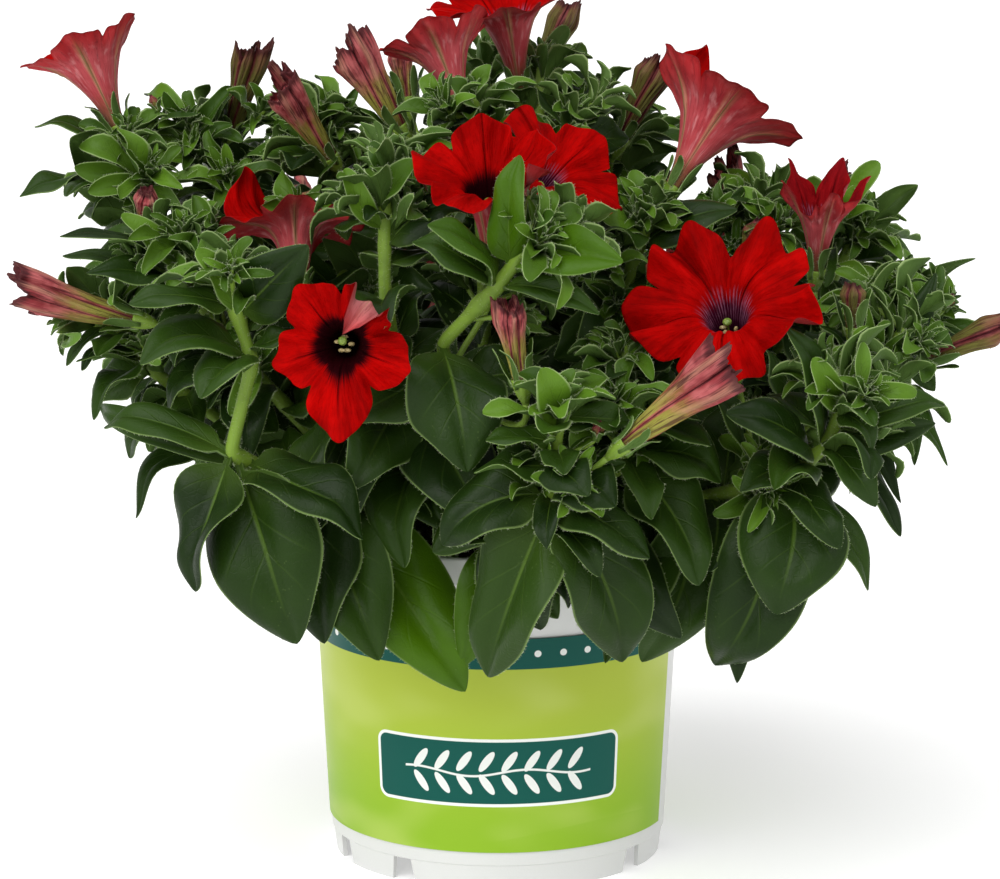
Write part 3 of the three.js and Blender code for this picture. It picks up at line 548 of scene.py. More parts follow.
def leavesOf(shoot, path, number):
    draw = seeded(number + 1)
    leaves = []

    def add(share, tip, width, small):
        root = stemAt(path, share)[0]
        face = leafFacing(root, small, mix(-0.35, 0.35, draw()))
        leaves.append(dict(
            root=root, tip=tip, width=width, small=small, face=face, share=share,
            curl=mix(0.35, 1.1, draw()), fold=mix(0.12, 0.5, draw()),
            wave=mix(0.02, 0.14, draw()), phase=draw()))

    def addByRule(make, q, first, bearing):
        length = mix(*make["length"], q) * mix(*make["vary"], draw())
        width = length * mix(*make["width"], draw())
        share = mix(first, make["share"][1], q)
        tip = leafAlong(shoot, path, share, bearing, radians(mix(*make["splay"], q)), length, 0)[1]
        add(share, tip, width, True)

    for share, tip, width in shoot.get("leaves", ()):
        add(share, vec(*tip), width, False)
    for i in range(shoot["more"]):
        bearing = radians((i * leafTurn + number * lowerLeaves["turn"]) % 360 - 180) * spreadShare
        first = shoot.get("start", lowerLeaves["share"][0])
        addByRule(lowerLeaves, (i + 0.5) / shoot["more"], first, bearing)
    for i in range(tipCount):
        bearing = radians(i * leafTurn + number * tipLeaves["turn"])
        addByRule(tipLeaves, i / (tipCount - 1), tipLeaves["share"][0], bearing)
    return leaves


nearEnough = 0.06 * mm  # from a leaf's tip to the solid's corner there


def grownLeaves(shoot, path, number, node):  # the leaves as they lie in the solid
    corners = node.data.vertices
    tree = KDTree(len(corners))
    for i, corner in enumerate(corners):
        tree.insert(corner.co, i)
    tree.balance()
    grown = []
    for leaf in leavesOf(shoot, path, number):
        for attempt in tries:
            lies = moved(leaf, attempt)
            if tree.find(Vector(lies["tip"] * mm))[2] < nearEnough:
                grown.append(lies)
                break
    return grown


def flowerFrame(base, tip):
    base, tip = vec(*base), vec(*tip)
    axis = unit(tip - base)
    side = square(front if abs(axis[2]) > 0.95 else up, axis)
    return dict(base=base, axis=axis, side=side, other=np.cross(axis, side))


def placed(f, a, r, h):
    a, r, h = (np.asarray(v, float)[..., None] for v in (a, r, h))
    return f["base"] + f["axis"] * h + f["side"] * r * np.cos(a) + f["other"] * r * np.sin(a)


# leaf and stem finishes

leafMake = dict(
    stalk=0.1, thick=0.5, thinEdge=0.24, ribDepth=0.7, ribWidth=0.9, quilt=0.3, veins=5.0, sweep=0.34,
    petiole=1.3, petioleSmall=0.7, grownBlade=(0.46, 0.74), youngBlade=(0.58, 0.5), taper=0.18,
    wave=3.2, twist=0.4, sway=0.045, droop=(0.0, 0.17), arch=0.2, youngArch=0.05)
leafColours = dict(
    dark=(0.007, 0.019, 0.0022), middle=(0.022, 0.052, 0.0045), bright=(0.05, 0.12, 0.0015),
    young=(0.026, 0.064, 0.005), youngLight=(0.095, 0.195, 0.014), rib=(0.1, 0.18, 0.022),
    edge=(0.16, 0.24, 0.07), youngEdge=(0.28, 0.38, 0.15), under=(0.085, 0.155, 0.03),
    underDark=(0.04, 0.08, 0.015), stem=(0.19, 0.31, 0.03), stemLow=(0.14, 0.23, 0.025),
    hair=(0.55, 0.62, 0.4))


def leafPaint(name, isUnder):
    paint = Paint(name, leafColours, Specular_IOR_Level=0.13)
    along, across, tint = paint.spread()
    young = tint.step(0.99, 1.01)  # young leaves carry a tint from 1 to 2
    tone = tint - young
    half = abs(across)
    patches = paint.noise(paint.place(), 45.0, 3.0)
    grain = paint.noise(paint.place(), 900.0, 2.0)
    if isUnder:
        paint.coat(patches, "under", "underDark")
    else:
        paint.coat(tone.step(0.05, 0.75), "middle", "dark")
        paint.coat(tone.step(0.86, 0.96) * (1.0 - young), "bright")
        fresh = paint.blend(tone.step(0.0, 1.0), "young", "youngLight")
        paint.coat(young, fresh)
        paint.coat(patches.step(0.35, 0.75) * 0.35, "middle")
    paint.coat(along.step(0.4, 0.0) * 0.35, "rib")
    lines = ((along - half ** 0.8 * leafMake["sweep"]) * leafMake["veins"]).fraction() - 0.5
    vein = abs(lines).step(0.07, 0.0) * half.step(0.92, 0.4) * along.step(0.9, 0.5)
    rib = half.step(0.055, 0.01) * along.step(0.95, 0.25)
    net = paint.cells(paint.place(), 380.0, "DISTANCE_TO_EDGE").step(0.12, 0.0)
    paint.coat(vein * (0.25 if isUnder else 0.1), "rib")
    paint.coat(rib * 0.6, "rib")
    # sparse pale specks, only where the patches noise is high
    paleSpecks = paint.cells(paint.place(), 420.0).step(0.16, 0.08) * patches.step(0.45, 0.7)
    paint.coat(paleSpecks * 0.22, "edge")
    paint.coat(half.step(0.945, 1.0) * 0.75, "edge")
    paint.coat(young * half.step(0.84, 1.0) * 0.85, "youngEdge")
    height = vein * (1.0 if isUnder else -0.6) + rib * (1.0 if isUnder else -0.9)
    height = height + grain * 0.3 - net * 0.15 + patches * 0.8
    rough = 0.31 + grain * 0.16 + (0.22 if isUnder else 0.0)
    return paint.finish(rough, (height, 0.00028, 0.8))


def stemPaint():
    paint = Paint("stemSkin", leafColours, Specular_IOR_Level=0.3)
    along, around, tint = paint.spread()
    streaks = paint.streaks(along, around, tint, (14.0, 3.0, 9.0))
    blotches = paint.noise(paint.place(), 120.0, 3.0)
    paint.coat(along.step(0.0, 0.5), "stem", "stemLow")
    paint.coat(streaks.step(0.4, 0.7) * 0.35, "edge")
    paint.coat(blotches.step(0.5, 0.75) * 0.3, "middle")
    return paint.finish(0.4 + blotches * 0.25, (streaks * 0.6 + blotches * 0.4, 0.0003, 0.6))


def hairPaint():
    paint = Paint("paleHairs", leafColours, Roughness=0.55)
    shade = paint.noise(paint.place(), 200.0, 2.0)
    paint.coat(shade, "hair", tuple(v * 0.8 for v in leafColours["hair"]))
    return paint.finish()


leafTop, leafUnder = leafPaint("leafTop", False), leafPaint("leafUnder", True)
stemSkin, paleHairs = stemPaint(), hairPaint()

# leaves


def leafHalf(leaf, u):  # half the blade's width, at the share u of its length
    rise, fall = leafMake["youngBlade" if leaf["young"] else "grownBlade"]
    q = np.clip((u - leafMake["stalk"]) / (1 - leafMake["stalk"]), 0, 1)
    peak = rise / (rise + fall)
    return leaf["width"] / 2 * (q / peak) ** rise * ((1 - q) / (1 - peak)) ** fall


def dressed(leaf, rng, young=False):  # a leaf with its own twist, sway and hanging tip
    make = leafMake
    return {
        **leaf, "young": young, "twist": np.clip(rng.normal(0, make["twist"]), -0.7, 0.7),
        "sway": rng.normal(0, make["sway"]), "droop": rng.uniform(*make["droop"])}


def leafSurface(leaf, u, v):  # the blade's upper face, and its normal there
    span, d, n, side = leafFrame(leaf)
    make = leafMake
    curl = leaf["curl"] if abs(leaf["curl"]) > 0.02 else 0.02
    half = curl / 2
    r = span / (2 * sin(half))
    a = curl * (0.5 - u)
    spine = leaf["root"] + (r * (sin(half) - np.sin(a)))[..., None] * d
    spine = spine + (r * (np.cos(a) - cos(half)))[..., None] * n
    spine = spine + (leaf["sway"] * span * np.sin(pi * u))[..., None] * side
    normal = np.cos(a)[..., None] * n - np.sin(a)[..., None] * d
    roll = (leaf["twist"] * smooth((u - 0.12) / 0.88))[..., None]
    level = side * np.cos(roll) + normal * np.sin(roll)
    normal = normal * np.cos(roll) - side * np.sin(roll)
    stalk = make["petioleSmall" if leaf["small"] else "petiole"]
    taper = 1 - (0 if leaf["young"] else make["taper"]) * smooth((u - 0.55) / 0.45)
    h = np.maximum(leafHalf(leaf, u) * taper, stalk * (1 - smooth((u - 0.1) / 0.2)) + 0.12 * (1 - u))
    size = leaf["width"] / 30
    lap = np.sin(2 * pi * (1.3 * u + leaf["phase"] + 0.23 * np.sign(v)))
    rise = h * sin(leaf["fold"]) * np.abs(v) ** 1.35
    rise = rise + make["wave"] * leaf["wave"] * h * lap * np.abs(v) ** 1.5
    arch = make["youngArch" if leaf["young"] else "arch"] * smooth(u / 0.3)
    rise = rise + arch * h * (np.sin(pi * np.abs(v) ** 0.9) * 0.8 - 0.9 * np.abs(v) ** 3)
    line = (u - make["sweep"] * np.abs(v) ** 0.8) * make["veins"]
    puff = make["quilt"] * size * np.sin(pi * line) ** 2 * smooth(np.abs(v) / 0.15) * (1 - np.abs(v)) ** 0.5
    rise = rise + puff * smooth((u - 0.15) / 0.1) * smooth((1 - u) / 0.2)
    rise = rise - leaf["droop"] * span * smooth((u - 0.66) / 0.34) ** 2
    across = v * h * np.cos(leaf["fold"] * np.abs(v) ** 0.5)
    return spine + across[..., None] * level + rise[..., None] * normal, normal, h


fringe = dict(
    perWidth=2.6, least=8, share=(0.1, 0.99), inside=0.8, lean=(-0.5, 0.7), stray=0.25, long=(0.4, 1.0))


def addLeaf(book, hairs, leaf, rows, cols, tint, rng):
    make = leafMake
    t = np.linspace(0, 1, rows + 1)[:-1]
    u = np.append(0.45 * t + 0.55 * np.sin(t * pi / 2), 0.99)
    v = np.sin(np.linspace(-1, 1, cols) * pi / 2)
    uu, vv = np.meshgrid(u, v, indexing="ij")
    top, normal, h = leafSurface(leaf, uu, vv)
    size = min(1.0, leaf["width"] / 26)
    thick = mix(make["thick"], make["thinEdge"], np.abs(vv) ** 3) * mix(0.6, 1, size)
    ribs = make["ribDepth"] * size * np.exp(-(vv * h / make["ribWidth"]) ** 2) * (1 - uu) ** 0.6
    stalky = 1 - smooth((uu - 0.08) / 0.16)
    under = top - normal * (thick + ribs + stalky * h * np.sqrt(np.clip(1 - vv**2, 0, 1)) * 1.2)[..., None]
    rings = np.concatenate([top, under[:, ::-1]], 1)
    growth = np.stack([uu, vv, np.full_like(uu, tint)], -1)
    growth = np.concatenate([growth, growth[:, ::-1]], 1)
    looks = np.where(np.arange(2 * cols) < cols, 0, 1)
    tip = leafSurface(leaf, np.array([1.0]), np.array([0.0]))[0][0] - normal[-1, 0] * 0.1
    root = (top[0].mean(0) + under[0].mean(0)) / 2
    addRings(book, rings, np.tile(looks, (len(u) - 1, 1)), growth, (root, tip))
    addFringe(hairs, leaf, rng)


def addFringe(hairs, leaf, rng):  # hairs along both edges of a leaf
    make = fringe
    count = int(leaf["width"] * make["perWidth"]) + make["least"]
    for edge in (-1.0, 1.0):
        at = rng.uniform(*make["share"], count)
        root, way, _ = leafSurface(leaf, at, np.full(count, edge))
        inner = leafSurface(leaf, at, np.full(count, edge * make["inside"]))[0]
        lean = way * rng.uniform(*make["lean"], count)[:, None] + rng.normal(0, make["stray"], (count, 3))
        hairs.add(root - 0.1 * way, units(root - inner) + lean, rng.uniform(*make["long"], count))


def leafPlaces(leaf, start, rows, cols, reach=1.0):  # places on a leaf, from the share start to its tip
    uu, vv = np.meshgrid(np.linspace(start, 1, rows), np.linspace(-reach, reach, cols), indexing="ij")
    return leafSurface(leaf, uu, vv)[0].reshape(-1, 3)


# where a leaf is looked at: the share of its length to start from, the rows and the columns
looksAt = dict(petals=(0.12, 9, 7), others=(0.3, 7, 5, 0.95), main=(0.1, 24, 13), extra=(0.12, 16, 9))


def isClearOfPetals(leaf):
    return petalRoom.isFree(leafPlaces(leaf, *looksAt["petals"]))


def leafProbe(leaf):
    return leafPlaces(leaf, *looksAt["others"])


# how a few of the leaves in front lie: the way the face looks, and a fresh leaf's tint
seen = {
    (3, 7): dict(face=vec(0.25, -1, 0.35), width=23, twist=0.0, droop=0.0, tint=0.15),
    (3, 0): dict(tint=0.3, twist=0.1), (3, 3): dict(tint=0.5), (3, 4): dict(tint=0.97, twist=0.1),
    (10, 0): dict(tint=0.55), (10, 1): dict(tint=0.35), (10, 4): dict(tint=0.92),
    (12, 0): dict(tint=0.3), (12, 2): dict(tint=0.2),
    (8, 1): dict(tint=0.93), (8, 2): dict(tint=0.93), (8, 3): dict(tint=0.9), (9, 0): dict(tint=0.7),
}
youngFrom = 0.915  # the share of a stem above which its small leaves are young ones
room, petalRoom = Room(2.4), Room(1.7)
paths = [stemPath(shoot) for shoot in shoots]
grown = [
    grownLeaves(shoot, path, i, frame["nodes"][f"leafy_shoot_{i + 1:02d}"])
    for i, (shoot, path) in enumerate(zip(shoots, paths))
]
print("leaves found in the solids:", sum(map(len, grown)))
for i, leaves in enumerate(grown):
    rng = np.random.default_rng(50 + i)
    grown[i] = [dressed(leaf, rng, leaf["share"] > youngFrom and leaf["small"]) for leaf in leaves]
    for k, leaf in enumerate(grown[i]):
        leaf.update({"tint": rng.uniform(0, 0.8) + leaf["young"], **seen.get((i, k), {})})
        room.take(leafPlaces(leaf, *looksAt["main"]))

# flowers

# glow is the red of painted highlights, and light the pink of painted highlights and of a folded lobe's
# lighter back
petalColours = dict(
    red=(0.24, 0.0006, 0.0005), deep=(0.09, 0.0004, 0.0004), glow=(0.42, 0.0012, 0.0008),
    maroon=(0.015, 0.0008, 0.0018), violet=(0.05, 0.003, 0.018), pale=(0.36, 0.13, 0.22),
    pink=(0.5, 0.08, 0.09), dusty=(0.34, 0.022, 0.03), light=(0.7, 0.34, 0.34), olive=(0.2, 0.15, 0.05),
    straw=(0.42, 0.25, 0.13), rose=(0.44, 0.018, 0.02),
    vein=(0.16, 0.014, 0.02), faded=(0.13, 0.006, 0.01))


def petalInsidePaint():
    paint = Paint("petalInside", petalColours, Specular_IOR_Level=0.015)
    along, around, tint = paint.spread()
    soft = paint.noise(paint.place(), 70.0, 3.0)
    fine = paint.streaks(along, around, tint, (60.0, 5.0, 7.0), 3.0, 2.0)
    rays = paint.streaks(along, around, tint, (34.0, 1.6, 5.0), 1.0)
    # lighter glow red where the soft noise also raises the bump: painted highlights on the petal
    paint.coat(soft.step(0.3, 0.72), "glow", "red")
    paint.coat(rays.step(0.5, 0.75) * 0.6, "deep")
    paint.coat(fine.step(0.45, 0.8) * 0.35, "deep")
    lobe = abs((around * 5.0 + 0.5).fraction() - 0.5)
    line = lobe.step(0.02, 0.003) * along.step(0.98, 0.6)
    paint.coat(line * 0.6, "maroon")
    paint.coat(tint.step(1.4, 1.6) * 0.6, "faded")  # an old flower
    streak = paint.noise(paint.join(around * 110.0, tint * 3.0), 1.0, 1.0)
    needles = paint.noise(paint.join(around * 260.0, tint * 3.0), 1.0, 1.0)
    throat = (along + streak * 0.1 + needles * 0.14 + tint * 0.07).step(0.78, 0.67)
    dark = paint.blend(tint.step(0.45, 0.55), "maroon", "violet")
    paint.coat(throat, dark)
    combs = abs((around * 42.0 + streak * 1.5).fraction() - 0.5).step(0.22, 0.42) * fine.step(0.3, 0.6)
    band = along.step(0.34, 0.48) * along.step(0.64, 0.54) * tint.step(0.45, 0.55)
    paint.coat(combs * band * 0.85, "pale")
    height = fine * 0.5 - line * 1.0 + soft * 0.9 - rays * 1.1
    return paint.finish(0.5 + fine * 0.25, (height, 0.0009, 0.9))


def petalOutsidePaint():
    paint = Paint("petalOutside", petalColours, Specular_IOR_Level=0.15)
    along, around, tint = paint.spread()
    fine = paint.streaks(along, around, tint, (70.0, 5.0, 5.0))
    broad = paint.streaks(along, around, tint, (16.0, 2.5, 5.0))
    soft = paint.noise(paint.place(), 60.0, 3.0)
    paint.coat(soft.step(0.3, 0.7), "pink", "dusty")
    # broad streaks of light pink are painted highlights
    paint.coat(broad.step(0.5, 0.72) * 0.42, "light")
    back = tint.step(-0.4, -0.6) * along.step(0.7, 0.8)  # the lighter back of a lobe that is folded over
    paint.coat(back * 0.7, "light")
    paint.coat(fine.step(0.5, 0.75) * 0.3, "dusty")
    paint.coat((along + soft * 0.3).step(0.8, 1.1) * 0.75, "rose")
    paint.coat((along + fine * 0.1).step(0.97, 1.08) * 0.6, "red")
    ribs = abs((around * 5.0 + 0.5).fraction() - 0.5)
    beam = (ribs + fine * 0.03).step(0.14, 0.06) * along.step(0.95, 0.5)
    paint.coat(beam * 0.6, "straw")
    ridge = ribs.step(0.035, 0.012) * along.step(0.98, 0.6)
    paint.coat(ridge * 0.75, "olive")
    paint.coat((along + broad * 0.15).step(0.42, 0.1) * 0.75, "olive")
    branch = abs((around * 40.0 + fine * 1.6).fraction() - 0.5).step(0.07, 0.01)
    paint.coat(branch * along.step(0.5, 0.8) * 0.28, "vein")
    paint.coat(along.step(0.983, 0.998) * 0.5, "maroon")
    height = fine * 0.4 + ridge * 1.0 + branch * 0.2 + soft * 0.8
    return paint.finish(0.5 + fine * 0.25, (height, 0.0006, 0.8))


def pistilPaint(name, low, high):
    paint = Paint(name, Roughness=0.4)
    beads = paint.cells(paint.place(), 1500.0)
    paint.coat(beads, low, high)
    return paint.finish(None, (beads, 0.0003, 0.6))


petalInside, petalOutside = petalInsidePaint(), petalOutsidePaint()
stigmaGreen = pistilPaint("stigmaGreen", (0.1, 0.16, 0.02), (0.3, 0.42, 0.06))
antherCream = pistilPaint("antherCream", (0.35, 0.24, 0.08), (0.6, 0.5, 0.25))

flowerMake = dict(
    cols=200, tubeRows=14, limbRows=32, baseRadius=2.1, baseLean=2, skin=0.4, edge=0.16, ruffle=1.6,
    pleat=0.9, notch=0.2, swell=2.0, point=0.06, tear=0.045, tears=(7, 11, 17, 29, 41), cut=0.2, funnel=17,
    hidden=2)


def petalSheet(flower, a, rng):  # out from the axis, up it, lean and growth, for each row and bearing
    make = {**flowerMake, **flower}
    lobe = np.abs(np.cos(2.5 * a))
    torn = 1 + make["tear"] * flower.get("torn", 1) * waves(rng, make["tears"], 0.2, a, 1)
    number = np.round(5 * a / (2 * pi)).astype(int) % 5
    reach = 1 + (np.array(flower.get("reach", (1,) * 5))[number] - 1) * lobe
    notch = 1 - make["notch"] * np.exp(-((lobe / 0.16) ** 2))
    middle = (5 * a / (2 * pi) + 0.5) % 1 - 0.5
    point = 1 + make["point"] * np.exp(-((middle / 0.1) ** 2))
    cut = 1 - make["cut"] + make["cut"] * lobe ** (0.7 + make["cut"])
    limb = make["limb"] * cut * torn * reach * notch * point
    bends = np.array(make["bends"])[number] * lobe**0.7
    r = np.full_like(a, make["baseRadius"])
    h = np.zeros_like(a)
    sheet = [(r, h, np.full_like(a, radians(make["baseLean"])), 0.0)]
    for i in range(make["tubeRows"]):
        q = (i + 0.5) / make["tubeRows"]
        lean = np.full_like(a, radians(mix(make["baseLean"], make["funnel"], q)))
        step = make["tube"] / make["tubeRows"]
        r, h = r + step * np.sin(lean), h + step * np.cos(lean)
        sheet.append((r, h, lean, (i + 1) / make["tubeRows"] / 2))
    for i in range(make["limbRows"]):
        q = (i + 0.5) / make["limbRows"]
        flare = radians(mix(make["funnel"], make["flare"], smooth(q / 0.55)))
        folded = q * q
        if "crease" in make:  # a lobe that bends far lies folded over at its crease
            folded = np.where(np.abs(bends) > 1.5, 1.35 * smooth((q - make["crease"]) / 0.16), folded)
        lean = flare + bends * folded
        step = limb / make["limbRows"]
        r, h = r + step * np.sin(lean), h + step * np.cos(lean)
        sheet.append((r, h, lean, 0.5 + (i + 1) / make["limbRows"] / 2))
    return sheet


def addFlower(book, flower, number, rng):
    make = flowerMake
    a = circle(make["cols"])
    f = flowerFrame(flower["base"], flower["mouth"])
    bearing = a + radians(flower["roll"])
    sheet = petalSheet(flower, a, rng)
    phases = rng.uniform(0, 2 * pi, 4)
    calm = flower.get("calm", 1)
    ruffle = np.sin(10 * a + phases[0]) + 0.6 * np.sin(15 * a + phases[1]) + 0.5 * np.sin(7 * a + phases[2])
    vein = np.exp(-((((5 * a / (2 * pi) + 0.5) % 1 - 0.5) / 0.05) ** 2))
    inner, outer, growth = [], [], []
    for r, h, lean, s in sheet:
        q = max(0.0, (s - 0.5) * 2)
        lift = make["ruffle"] * calm * flower.get("wavy", 1) * ruffle * q**2 * (flower["limb"] / 25)
        groove = 0.35 * np.cos(5 * a) * (1 - q) * s - make["pleat"] * vein * smooth(q / 0.2)
        swell = make["swell"] * calm * (np.abs(np.sin(5 * a + pi / 2)) - 0.5) * q * (1 - q * 0.5) * 2
        crumple = 0.3 * q * np.sin(23 * a + 9 * s + phases[3]) * np.sin(14 * s + 2 * np.sin(3 * a))
        folds = 0.7 * q * np.sin(9 * a + 5 * s + phases[1]) * np.sin(9 * s + 3 * np.sin(2 * a + phases[0]))
        off = lift + groove + swell + (crumple + folds)
        rr, hh = r - off * np.cos(lean), h + off * np.sin(lean)
        skin = mix(make["skin"], make["edge"], q)
        inner.append(placed(f, bearing, rr, hh))
        outer.append(placed(f, bearing, rr + skin * np.cos(lean), hh - skin * np.sin(lean)))
        growth.append(growthRow(s, a, flower.get("tint", number % 2)))
    first = make["hidden"]  # rows inside the calyx that are left out
    rings = np.array(outer[first:] + inner[first:][::-1])
    growth = np.array(growth[first:] + growth[first:][::-1])
    count = len(outer) - first
    looks = np.repeat(np.where(np.arange(2 * count - 1) < count, 1, 0), make["cols"])
    ends = placed(f, [0, 0], [0, 0], [-nest["apex"], nest["rim"] / 2])
    addRings(book, rings, looks.reshape(-1, make["cols"]), growth, ends)
    room.take(rings)
    petalRoom.take(rings)
    return f


def addBall(book, centre, axis, long, wide, look, rows=8, sides=12):
    t = np.linspace(0.08, 0.92, rows) * pi
    side = square(vec(0.3, 0.5, 0.8), axis)
    path = centre + np.outer(-np.cos(t) * long, axis)
    angles = circle(sides)
    spokes = np.outer(np.cos(angles), side) + np.outer(np.sin(angles), np.cross(axis, side))
    rings = [p + radius * spokes for p, radius in zip(path, np.sin(t) * wide)]
    addRings(book, rings, look, np.zeros((rows, sides, 3)), (centre - axis * long, centre + axis * long))


pistilMake = dict(
    high=0.9, style=0.35, stigma=(1.1, 1.6), stamens=5, stamenRoot=(1.4, 5.0), headOut=2.3, stamen=0.18,
    anther=(1.3, 0.75), ease=6, tint=0.5)


def addPistil(book, f, flower, rng):
    make = pistilMake
    top = flower["tube"] * make["high"]
    ease = f["axis"] * make["ease"]
    line = placed(f, [0.4, 0.4, 0.4], [0.3, 0.8, 1.2], [2, top * 0.6, top])
    style = bezier(line[0], line[0] + ease, line[1], line[2], 12)
    addTube(book, style, make["style"], 8, 2, make["tint"])
    addBall(book, line[2] + f["axis"] * 0.6, f["axis"], *make["stigma"], 2)
    for k in range(make["stamens"]):
        a = 2 * pi * k / make["stamens"] + rng.uniform(-0.3, 0.3)
        head = placed(f, a, make["headOut"], top * rng.uniform(0.84, 0.98))
        foot = placed(f, a, *make["stamenRoot"])
        addTube(book, bezier(foot, foot + ease, head - ease, head, 8), make["stamen"], 6, 2, make["tint"])
        addBall(book, head, square(f["axis"] * 0.3 + rng.normal(0, 1, 3), f["side"]), *make["anther"], 3)


flowerPaints = [petalInside, petalOutside, stigmaGreen, antherCream]
for i, flower in enumerate(flowers):
    book, rng = Book(), np.random.default_rng(100 + i)
    addPistil(book, addFlower(book, flower, i, rng), flower, rng)
    book.build(f"openFlower{i + 1:02d}", flowerPaints, "petal", f"flower_{i + 1:02d}")
print("open flowers:", len(flowers))

# closed flowers

# pale is the painted highlight on the pleats' crests; maroon is the real streaks and also painted shade in
# the pleats' grooves
wiltedColours = dict(
    pink=(0.42, 0.1, 0.1), blush=(0.24, 0.03, 0.035), maroon=(0.05, 0.004, 0.007), olive=(0.26, 0.28, 0.035),
    green=(0.1, 0.11, 0.016), pale=(0.5, 0.33, 0.2), dark=(0.045, 0.006, 0.008))
# depth and wide hold a value for each of the marks along the flower, and for its base and its calyx's rim
wiltedMake = dict(
    cols=160, rows=52, marks=(0.35, 0.62, 0.88, 1.0), wide=(0.9, 0.97, 0.6, 0.76, 0.98, 0.95),
    least=(1.02, 1.04), depth=(0, 0.02, 0.07, 0.13, 0.26, 0.42), wrinkle=0.06, wrinkles=(9, 13, 19, 27),
    rags=(5, 8, 13, 21, 34), edge=0.35, twist=0.7, uneven=(0.34, 0.2), gather=0.06, lobes=0.66, ragged=0.07,
    curlFrom=0.8, curlOver=0.2, flutter=0.11, shut=0.75, lining=0.16)


def wiltedPaint():
    paint = Paint("wiltedSkin", wiltedColours, Specular_IOR_Level=0.22)
    along, around, tint = paint.spread()
    fine = paint.streaks(along, around, tint, (60.0, 2.2, 8.0))
    streak = paint.streaks(along, around, tint, (24.0, 1.6, 8.0))
    soft = paint.streaks(along, around, tint, (6.0, 4.0, 8.0), 2.0, 2.0)
    paint.coat(soft.step(0.35, 0.65), "pink", "blush")
    crest = 0.5 - abs((around * 5.0).fraction() - 0.5)  # a half on each pleat's crest, nought in its groove
    # pale on each pleat's crest is a painted highlight
    paint.coat(crest.step(0.3, 0.5) * 0.35, "pale")
    olive = tint.step(0.32, 0.18)  # some close while still green
    low = (along + soft * 0.25 - olive * 0.35).step(0.92, 0.5)
    green = paint.blend(olive, "olive", "green")
    paint.coat(olive * 0.6, "maroon")
    paint.coat(low * crest.step(0.05, 0.2) * 0.85, green)
    paint.coat(streak.step(0.53, 0.63) * 0.75, "maroon")
    # maroon in each pleat's groove is painted shade in the fold
    paint.coat((crest + fine * 0.05).step(0.09, 0.03) * 0.8, "maroon")
    paint.coat(fine.step(0.54, 0.68) * 0.5, "maroon")
    paint.coat((along + streak * 0.1).step(0.26, 0.1) * 0.6, "maroon")
    paint.coat((along + fine * 0.14).step(0.98, 1.04) * 0.85, "dark")
    return paint.finish(0.5 + fine * 0.25, (fine * 0.8 + streak * 1.2, 0.0006, 0.9))


wiltedSkin = wiltedPaint()


def addClosed(book, bud, number):
    make = wiltedMake
    rng = np.random.default_rng(300 + number)
    f = flowerFrame(bud["base"], bud["tip"])
    length = np.linalg.norm(vec(*bud["tip"]) - vec(*bud["base"]))
    w, isOpen, least = bud["width"] / 2, bud["open"], nest["radius"]
    a = circle(make["cols"])
    marks = [0, nest["rim"] / length, *make["marks"]]
    base, rim, *above = make["wide"]
    wide = [least * base, least * rim, *(w * share for share in above)]
    wide[2:4] = [max(least * low, width) for low, width in zip(make["least"], wide[2:4])]
    folds = np.array(make["depth"]) * (0.75 + 0.35 * isOpen)
    wrinkles = waves(rng, make["wrinkles"], 0.4, a)
    ragged = waves(rng, make["rags"], 0.4, a)
    turns = rng.uniform(0, 2 * pi, 3)
    pleat = a + make["uneven"][0] * np.sin(a + turns[0]) + make["uneven"][1] * np.sin(2 * a + turns[1])
    tips = (1 + np.sin(2 * a + turns[0])) * (np.abs(np.sin(2.5 * pleat)) - 0.4) + 0.8 * np.sin(a + turns[2])
    outer, inner, growth = [], [], []
    for t in np.linspace(0, 1, make["rows"]):
        fold = np.interp(t, marks, folds)
        crease = (2 * np.abs(np.sin(2.5 * pleat)) ** 0.75 - 1.1 + 0.3 * np.sin(2 * a + number)) * fold
        wrinkle = make["wrinkle"] * wrinkles * smooth(t / 0.3) * (0.4 + 0.6 * t)
        radius = np.interp(t, marks, wide) * (1 + crease) + wrinkle * w * 0.5
        curl = smooth((t - make["curlFrom"]) / make["curlOver"])
        reach = t * length + curl * w * (make["lobes"] * tips + make["ragged"] * ragged) * isOpen
        radius = radius * (1 - make["gather"] * curl) + 0.12 * ragged * curl
        radius = radius + make["flutter"] * w * curl * np.sin(4 * a + 7 * t + turns[1]) * isOpen
        radius = radius * (1 - (1 - isOpen) * make["shut"] * curl)
        bearing = a + make["twist"] * t
        outer.append(placed(f, bearing, radius, reach))
        inner.append(placed(f, bearing, np.maximum(radius - make["edge"], 0.15), reach))
        growth.append(growthRow(t, pleat, number * 0.37 % 1))
    deep = make["rows"] - max(3, int(make["rows"] * make["lining"] * isOpen))
    rings = np.array(outer + inner[deep:][::-1])
    growth = np.array(growth + growth[deep:][::-1])
    ends = placed(f, [0, 0], [0, 0], [-nest["apex"], length * (deep / make["rows"])])
    addRings(book, rings, 0, growth, ends)
    room.take(rings)
    petalRoom.take(rings)


for i, bud in enumerate(closed):
    book = Book()
    addClosed(book, bud, i)
    book.build(f"closedFlower{i + 1:02d}", [wiltedSkin], "wilted_petal", f"closed_flower_{i + 1:02d}")
print("closed flowers:", len(closed))

# leafy shoots

# each fuzz holds the hairs for a millimetre of length, and their shortest and longest
shootMake = dict(
    low=2.8, high=2.0, sides=14, step=1.6, bulge=0.35, bulgeEnds=40, taken=2.2, fuzz=(8.0, 0.6, 1.5),
    hairThick=0.052, tuft=22, spray=20, sideTwig=0.9, sideFuzz=(5.0, 0.5, 1.1), sprayTwig=1.2,
    sprayFuzz=(6.0, 0.5, 1.1), budTwig=0.7, smallGrid=(14, 9), largeGrid=(30, 17), lonerGrid=(22, 13),
    facingGrid=(14, 11), tints=(0, 0.8), facingTint=1.9, facingCurl=0.3, budLean=0.5)
